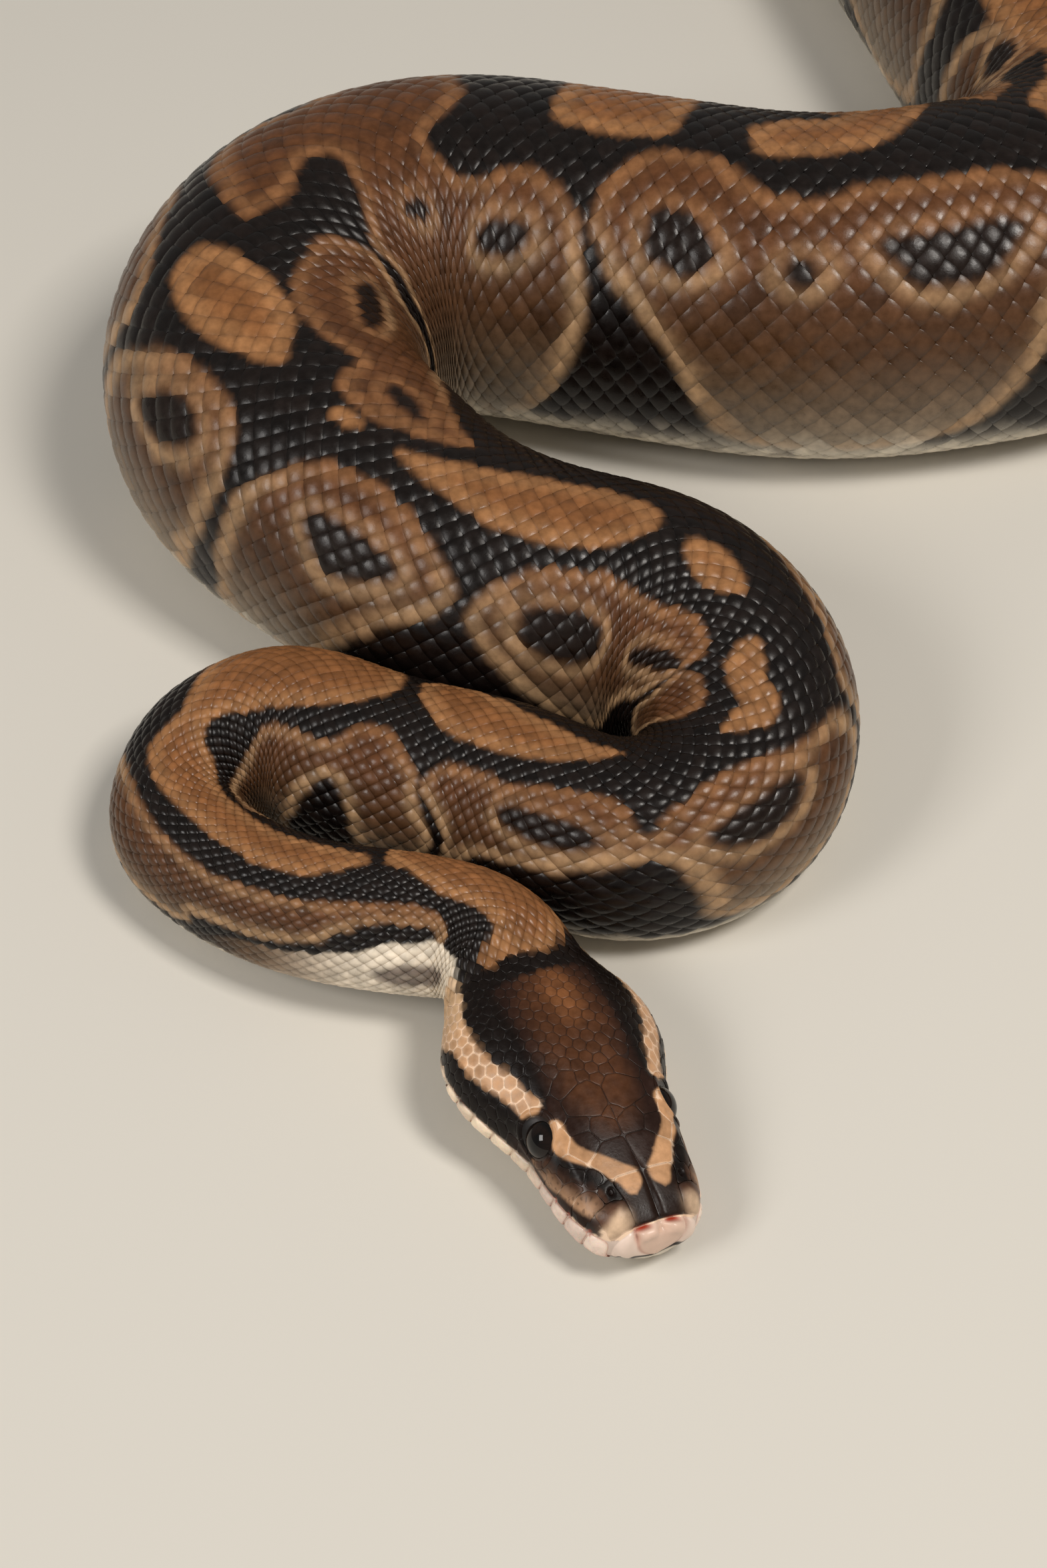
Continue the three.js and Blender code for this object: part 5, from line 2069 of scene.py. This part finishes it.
@dataclass
class Coat:
    """Builds the meshes of all scale sheets, with the markings in their colours."""

    form: Form
    pattern: Pattern
    head: HeadPattern
    rng: np.random.Generator
    follow: float = 0.8  # how far across a scale its colour still follows the markings
    nape: Range = (52.0, 47.0)  # where body scales begin to take the head's markings, and fully do
    # painted shade round each body scale's lit middle, partly its own darker edge
    body_edge_painted_shade: float = 0.36  # how much darker a body scale is at its edge
    throat_edge: float = 0.2
    # A lip scale's darker crease, partly its own reddish tone and partly painted shade: where it starts,
    # its share in front, and how much less it is behind.
    crease_shade: tuple[float, float, float] = (0.86, 0.8, 0.4)
    even: float = 0.35  # how far a small scale of the head has one colour
    rim_start: tuple[float, float] = (0.93, 0.2)  # a plate's rim, and how much wider on pale scales

    def _body_tones(self, shells: Shells, grain: Array, jitter: Array) -> Array:
        """Returns one colour for each scale from the markings near its root, darker at its edge: partly
        its own tone, partly painted shade round its lit dome.

        Args:
            shells: the scales on the body.
            grain: a scatter from 0 to 1, one value for each scale.
            jitter: a scatter from -1 to 1, one value for each scale.

        Returns:
            Linear colours, with red, green and blue as the last axis.
        """
        s, p, q = shells.s, shells.p, shells.q
        near_s = s[:, :1] + (s - s[:, :1]) * self.follow
        near_q = q[:, :1] + (q - q[:, :1]) * self.follow * (np.abs(p[:, :1]) < 0.9)
        spread = s.shape[1]
        tone = self.pattern.body(near_s.ravel(), near_q.ravel(), jitter.repeat(spread),
                                 grain.repeat(spread)).reshape(*s.shape, 3)
        near = s[:, 0] < self.nape[0]
        if near.any():
            own = self.head.colour(s[near, 0], q[near, 0], grain[near], jitter[near])
            share = smoothstep(*self.nape, s[near, 0])
            tone[near] = blend(tone[near], own[:, None], share[:, None])
        # painted shade, partly the scale's own tone: each scale darkens towards its edge so its middle
        # looks lit
        return tone * (1 - self.body_edge_painted_shade * shells.f**3)[..., None]

    def _tones(self, sheet: ScaleSheet, shells: Shells) -> Array:
        """Returns the colour of each vertex.

        A body scale keeps to the markings near its root. A plate of the head takes the markings
        place by place, and has a rim: dark on dark plates, pale on pale ones.

        Args:
            sheet: the scales.
            shells: the same scales on the body.

        Returns:
            Linear colours, with red, green and blue as the last axis.
        """
        s, f = shells.s, shells.f
        grain = self.rng.random(len(s))
        jitter = self.rng.uniform(-1, 1, len(s))
        if sheet.name.startswith(("body", "tail", "belly")):
            return self._body_tones(shells, grain, jitter)
        spread = s.shape[1]
        fine = self.head.colour(s.ravel(), shells.q.ravel(), grain.repeat(spread),
                                jitter.repeat(spread)).reshape(*s.shape, 3)
        small = sheet.profile is CELL_PROFILE
        if small:
            fine = fine[:, :1] * self.even + fine * (1 - self.even)
        if sheet.profile is LIP_PROFILE:
            # painted shade, partly the crease's own tone, round the edge of each lip scale
            start, front, less = self.crease_shade
            share = smoothstep(start, 1.0, f) * (front - less * smoothstep(12, 20, s))
            return blend(fine, Tones.LIP_CREASE_TONE_AND_SHADE, share)
        if sheet.chart is Chart.THROAT:
            return fine * (1 - self.throat_edge * smoothstep(0.8, 1.0, f))[..., None]
        light = paleness(fine)
        start = self.rim_start[0] - small * self.rim_start[1] * light
        rim = smoothstep(0.0, 1.0, (f - start) / (1.0 - start)) * (0.5 + 0.5 * light)
        return blend(fine, blend(Tones.EDGE, Tones.STRIPE_RIM, light), rim)

    def build(self, sheet: ScaleSheet) -> bpy.types.Object:
        """Makes one sheet's mesh, each scale a small patch of the bake map at its root's place.

        Args:
            sheet: the scales.

        Returns:
            The sheet's object.
        """
        shells = Shells(self.form, sheet)
        corner, sizes = shell_faces(len(sheet.profile.rings), shells.count, len(sheet.centre))
        tones = self._tones(sheet, shells)
        along, around = shells.s[:, :1], np.mod(shells.p[:, :1] + 1, 2) / 2
        if sheet.chart is Chart.THROAT:
            around = np.mod(around + 0.5, 1.0)
        along = (along - along.min()) / (along.max() - along.min())
        widest = np.abs(sheet.outline).max((1, 2))[:, None, None]
        patch = PATCH if shells.count < HeadCoat.plate_rays else PLATE_PATCH
        chart = 0.01 + 0.98 * np.stack([along, around], axis=-1) + shells.offset / widest * patch
        return make_mesh(sheet.name, shells.point.reshape(-1, 3), corner, sizes,
                         tones.reshape(-1, 3), chart.reshape(-1, 2)[corner])


@dataclass
class Eye:
    """A smooth dark ball with a brown iris and a slit pupil, set in the side of the head."""

    form: Form
    side: int  # 1 on the snake's right, -1 on its left
    aside: float = 8.1
    height: float = 10.85
    forward: float = 0.28  # how far the line of sight leans towards the snout
    upward: float = 0.38
    around: int = 64
    rows: int = 40
    iris_edge: float = 0.92  # in radians from the line of sight
    iris_fade: float = 0.12
    pupil: tuple[float, float] = (0.20, 0.62)  # half width and half height of the slit
    pupil_edge: Range = (0.85, 1.1)  # share of its size
    streaks: tuple[float, float, float] = (20.0, 0.75, 0.5)  # in a radian, least tone, spread
    iris_light: Range = (0.2, 0.7)  # in radians from the line of sight

    def _axes(self) -> tuple[Array, Array]:
        """Returns the middle of the ball, and its axes: towards the tail, up, and line of sight.

        Returns:
            The middle in millimetres, and the axes as rows.
        """
        x, y, heading = (float(v) for v in self.form.spine.at(np.array(EYE_ALONG)))
        roll = math.radians(HEAD_ROLL_DEG)
        tailward = np.array([math.cos(heading), math.sin(heading), 0.0])
        flat = np.array([-math.sin(heading), math.cos(heading), 0.0])
        aside = flat * math.cos(roll) + np.array([0, 0, math.sin(roll)])
        up = -flat * math.sin(roll) + np.array([0, 0, math.cos(roll)])
        middle = np.array([x, y, ROLL_AXIS_HEIGHT]) + aside * self.aside * self.side
        middle = middle + up * (self.height - ROLL_AXIS_HEIGHT)
        sight = aside * self.side - tailward * self.forward + up * self.upward
        sight /= np.linalg.norm(sight)
        rise = up - sight * (up @ sight)
        rise /= np.linalg.norm(rise)
        return middle, np.stack([np.cross(rise, sight), rise, sight])

    def tones(self, polar: Array, turn: Array) -> Array:
        """Returns colours: a black slit, a deep brown iris with fine streaks, and a black rim.

        Args:
            polar: angles from the line of sight, in radians.
            turn: angles round it, in radians.

        Returns:
            Linear colours, with red, green and blue as the last axis.
        """
        across, rise = polar * np.cos(turn), polar * np.sin(turn)
        slit = np.hypot(across / self.pupil[0], rise / self.pupil[1])
        often, least, spread = self.streaks
        streak = least + spread * hash_noise(np.round(turn * often))
        iris = Tones.EYE_IRIS * (streak * (0.6 + 0.6 * smoothstep(*self.iris_light, polar)))[:, None]
        rim = smoothstep(self.iris_edge, self.iris_edge - self.iris_fade, polar)
        return blend(Tones.EYE_BLACK, iris, smoothstep(*self.pupil_edge, slit) * rim)

    def build(self) -> bpy.types.Object:
        """Sweeps rings from the line of sight to the back of the ball, and closes both poles.

        Returns:
            The eye ball.
        """
        middle, axes = self._axes()
        a, b = np.meshgrid(np.linspace(0, math.pi, self.rows + 1)[1:-1],
                           np.arange(self.around) * 2 * math.pi / self.around, indexing="ij")
        polar = np.concatenate([[0], a.ravel(), [math.pi]])
        turn = np.concatenate([[0], b.ravel(), [0]])
        way = np.stack([np.cos(turn), np.sin(turn)], axis=1)
        local = np.concatenate([np.sin(polar)[:, None] * way, np.cos(polar)[:, None]], axis=1)
        corner, sizes = shell_faces(self.rows - 1, self.around)
        chart = 0.5 + 0.48 * way * np.minimum(polar / math.pi, 0.98)[:, None]
        name = "eye_ball_right" if self.side > 0 else "eye_ball_left"
        return make_mesh(name, middle + EYE_BALL_RADIUS * local @ axes, corner, sizes,
                         self.tones(polar, turn), chart[corner])


# ---- finishes ----------------------------------------------------------------------------


def fill(tree: bpy.types.NodeTree, node: bpy.types.Node, inputs: dict[str, object]) -> None:
    """Fills a node's inputs: an output of another node is linked in, and a number is set.

    Args:
        tree: the material's nodes.
        node: the node to fill.
        inputs: outputs and numbers, by the name of the input.
    """
    for name, value in inputs.items():
        if isinstance(value, bpy.types.NodeSocket):
            tree.links.new(value, node.inputs[name])
        else:
            node.inputs[name].default_value = value


def add_node(tree: bpy.types.NodeTree, kind: str, inputs: dict[str, object]) -> bpy.types.Node:
    """Adds a shader node of a kind, with its inputs filled.

    Args:
        tree: the material's nodes.
        kind: the node's kind, as its type is named after the common first part.
        inputs: outputs and numbers, by the name of the input.

    Returns:
        The node.
    """
    node = tree.nodes.new(f"ShaderNode{kind}")
    fill(tree, node, inputs)
    return node


@dataclass(frozen=True)
class SkinFinish:
    """The look of skin or scales: colours held by the mesh, mottled, with a fine grain."""

    name: str
    roughness: float = 0.36
    roughness_spread: float = 0.10
    mottle_size: float = 420.0  # noise cells in a metre
    mottle_detail: float = 4.0
    mottle: float = 0.22
    grain_size: float = 2600.0
    grain_detail: float = 3.0
    grain_height: float = 0.00002
    specular: float = 0.5
    subsurface: float = 0.0
    subsurface_depth: float = 0.0008
    noise_middle: Range = (0.3, 0.7)  # the part of a noise that is spread over a range

    def material(self) -> bpy.types.Material:
        """Builds the nodes.

        The colour is the mesh's own, made up to a set share lighter or darker by a soft noise. The
        roughness follows the same noise, and a finer one gives the bump.

        Returns:
            The material.
        """
        made = bpy.data.materials.new(self.name)
        made.use_nodes = True
        tree = made.node_tree
        own = add_node(tree, "VertexColor", {})
        own.layer_name = TONE
        place = add_node(tree, "TexCoord", {}).outputs["Object"]
        mottle = self._noise(tree, place, self.mottle_size, self.mottle_detail)
        grain = self._noise(tree, place, self.grain_size, self.grain_detail)
        toned = add_node(tree, "VectorMath", {})
        toned.operation = "SCALE"
        fill(tree, toned, {"Vector": own.outputs["Color"],
                           "Scale": self._around(tree, mottle, 1.0, self.mottle)})
        bump = add_node(tree, "Bump", {"Distance": self.grain_height, "Height": grain})
        fill(tree, tree.nodes["Principled BSDF"], {
            "Base Color": toned.outputs["Vector"],
            "Roughness": self._around(tree, mottle, self.roughness, self.roughness_spread),
            "Normal": bump.outputs["Normal"],
            "Specular IOR Level": self.specular,
            "Subsurface Weight": self.subsurface,
            "Subsurface Scale": self.subsurface_depth,
        })
        return made

    @staticmethod
    def _noise(tree: bpy.types.NodeTree, place: bpy.types.NodeSocket, scale: float,
               detail: float) -> bpy.types.NodeSocket:
        """Returns a noise on the piece's own coordinates."""
        inputs = {"Vector": place, "Scale": scale, "Detail": detail}
        return add_node(tree, "TexNoise", inputs).outputs["Fac"]

    def _around(self, tree: bpy.types.NodeTree, noise: bpy.types.NodeSocket, middle: float,
                reach: float) -> bpy.types.NodeSocket:
        """Returns the noise spread to both sides of a middle value.

        Args:
            tree: the material's nodes.
            noise: the noise.
            middle: the value in the middle.
            reach: how far it goes to each side.

        Returns:
            The output that holds the value.
        """
        low, high = self.noise_middle
        inputs = {"Value": noise, "From Min": low, "From Max": high,
                  "To Min": middle - reach, "To Max": middle + reach}
        return add_node(tree, "MapRange", inputs).outputs["Result"]


SKIN_FINISH = SkinFinish("skin_between_scales", roughness=0.34, roughness_spread=0.04, mottle=0.06,
                         grain_height=0.000005, specular=0.45)
BODY_FINISH = SkinFinish("body_scale_gloss", roughness=0.33, mottle_size=600.0, specular=0.31)
SCUTE_FINISH = SkinFinish("belly_scute_satin", roughness=0.38, mottle_size=300.0)
PLATE_FINISH = SkinFinish("head_plate_gloss", roughness=0.36, mottle_size=900.0, mottle=0.16,
                          specular=0.2)
LIP_FINISH = SkinFinish("lip_satin", roughness=0.30, mottle_size=900.0, mottle=0.10, subsurface=0.15)
EYE_FINISH = SkinFinish("eye_gloss", roughness=0.05, roughness_spread=0.01, mottle=0.05,
                        grain_height=0.0, specular=0.36)


# ---- the studio --------------------------------------------------------------------------


Place = tuple[float, float, float]


@dataclass(frozen=True)
class Softbox:
    """A rectangular light that faces a point, turned in its own plane."""

    name: str
    place: Place
    size: tuple[float, float]
    power: float
    tone: Place
    turn: float = 0.0  # in degrees

    def hang(self, aim: Place) -> None:
        """Adds the light to the scene, facing a point.

        Args:
            aim: the point, in metres.
        """
        lamp = bpy.data.lights.new(self.name, "AREA")
        lamp.shape = "RECTANGLE"
        lamp.size, lamp.size_y = self.size
        lamp.energy = self.power
        lamp.color = self.tone
        obj = add_object(self.name, lamp)
        obj.location = self.place
        facing = (Vector(aim) - Vector(self.place)).to_track_quat("-Z", "Y")
        obj.rotation_euler = (facing @ Quaternion((0, 0, 1), math.radians(self.turn))).to_euler()


@dataclass
class Studio:
    """A pale floor with soft lights, and the camera."""

    camera_place: Place = (-68.88, -449.66, 384.56)
    camera_aim: Place = (-68.88, -103.4, 0.0)
    lens: float = 76.63
    sensor: float = 36.0
    clip: Range = (0.01, 20.0)
    floor_size: float = 20.0
    floor_tone: str = "d9d5cc"
    floor_roughness: float = 0.85
    floor_specular: float = 0.2
    light_aim: Place = (-0.03, -0.08, 0.02)
    key_light: Softbox = Softbox("key_light", (0.36, -0.34, 0.86), (0.24, 0.30), 5.9,
                                 (1.0, 0.95, 0.89))
    fill_light: Softbox = Softbox("fill_light", (-0.75, -0.55, 0.7), (0.32, 0.46), 4.5,
                                  (1.0, 0.97, 0.94), turn=45.0)
    surround_tone: Place = (1.0, 0.98, 0.95)
    surround_strength: float = 0.22

    def floor(self) -> None:
        """Makes the floor: one wide square of matt paper."""
        half = self.floor_size / 2
        mesh = bpy.data.meshes.new("studio_floor")
        mesh.from_pydata([(-half, -half, 0), (half, -half, 0), (half, half, 0), (-half, half, 0)],
                         [], [(0, 1, 2, 3)])
        made = bpy.data.materials.new("floor_paper")
        made.use_nodes = True
        fill(made.node_tree, made.node_tree.nodes["Principled BSDF"], {
            "Base Color": (*tint(self.floor_tone), 1),
            "Roughness": self.floor_roughness,
            "Specular IOR Level": self.floor_specular,
        })
        mesh.materials.append(made)
        add_object("studio_floor", mesh)

    def lights(self) -> None:
        """Hangs a soft key light on the right, a fill on the left, and a pale surround."""
        for light in (self.key_light, self.fill_light):
            light.hang(self.light_aim)
        world = bpy.data.worlds.new("studio_surround")
        world.use_nodes = True
        fill(world.node_tree, world.node_tree.nodes["Background"],
             {"Color": (*self.surround_tone, 1), "Strength": self.surround_strength})
        bpy.context.scene.world = world

    def camera(self) -> None:
        """Places the camera, looking down on the near side of the coils."""
        data = bpy.data.cameras.new("camera")
        data.lens, data.sensor_width, data.sensor_fit = self.lens, self.sensor, "AUTO"
        data.clip_start, data.clip_end = self.clip
        obj = add_object("camera", data)
        place, aim = (Vector(v) * MM for v in (self.camera_place, self.camera_aim))
        obj.location = place
        obj.rotation_euler = (aim - place).to_track_quat("-Z", "Y").to_euler()
        bpy.context.scene.camera = obj

    def build(self) -> None:
        """Sets up the whole studio."""
        self.floor()
        self.lights()
        self.camera()
        bpy.context.scene.view_settings.view_transform = "Standard"


# ---- assembly ----------------------------------------------------------------------------


def settle(piece: bpy.types.Object, finish: SkinFinish) -> None:
    """Dresses a piece, ties it to the body and reports it.

    Args:
        piece: the finished object.
        finish: its look.
    """
    made = bpy.data.materials.get(finish.name) or finish.material()
    piece.data.materials.append(made)
    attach(piece, "root")
    log.info("%s: %d vertices, %d faces", piece.name, len(piece.data.vertices),
             len(piece.data.polygons))


def main() -> None:
    """Builds the snake piece by piece, then the studio."""
    logging.basicConfig(level=logging.INFO, format="%(message)s")
    rng = np.random.default_rng(SEED)
    form = Form()
    pattern = Pattern(form)
    head = HeadPattern(pattern)

    skin = Skin(form, pattern, head).build()
    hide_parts(*FLESH)
    settle(skin, SKIN_FINISH)
    for side, node in ((1, "eye_right"), (-1, "eye_left")):
        ball = Eye(form, side).build()
        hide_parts(node)
        settle(ball, EYE_FINISH)

    coat = Coat(form, pattern, head, rng)
    finishes = {"upper_lip": (LIP_FINISH, "lip_skin"), "lower_lip": (LIP_FINISH, "lip_skin")}
    for sheet in HeadCoat(form, rng).sheets():
        finish, slot = finishes.get(sheet.name, (PLATE_FINISH, "head_skin"))
        settle(coat.build(sheet), finish)
    body = BodyCoat(form, pattern)
    for sheet in body.sheets():
        settle(coat.build(sheet), BODY_FINISH)
    settle(coat.build(body.scutes()), SCUTE_FINISH)

    Studio().build()


if __name__ == "__main__":
    main()
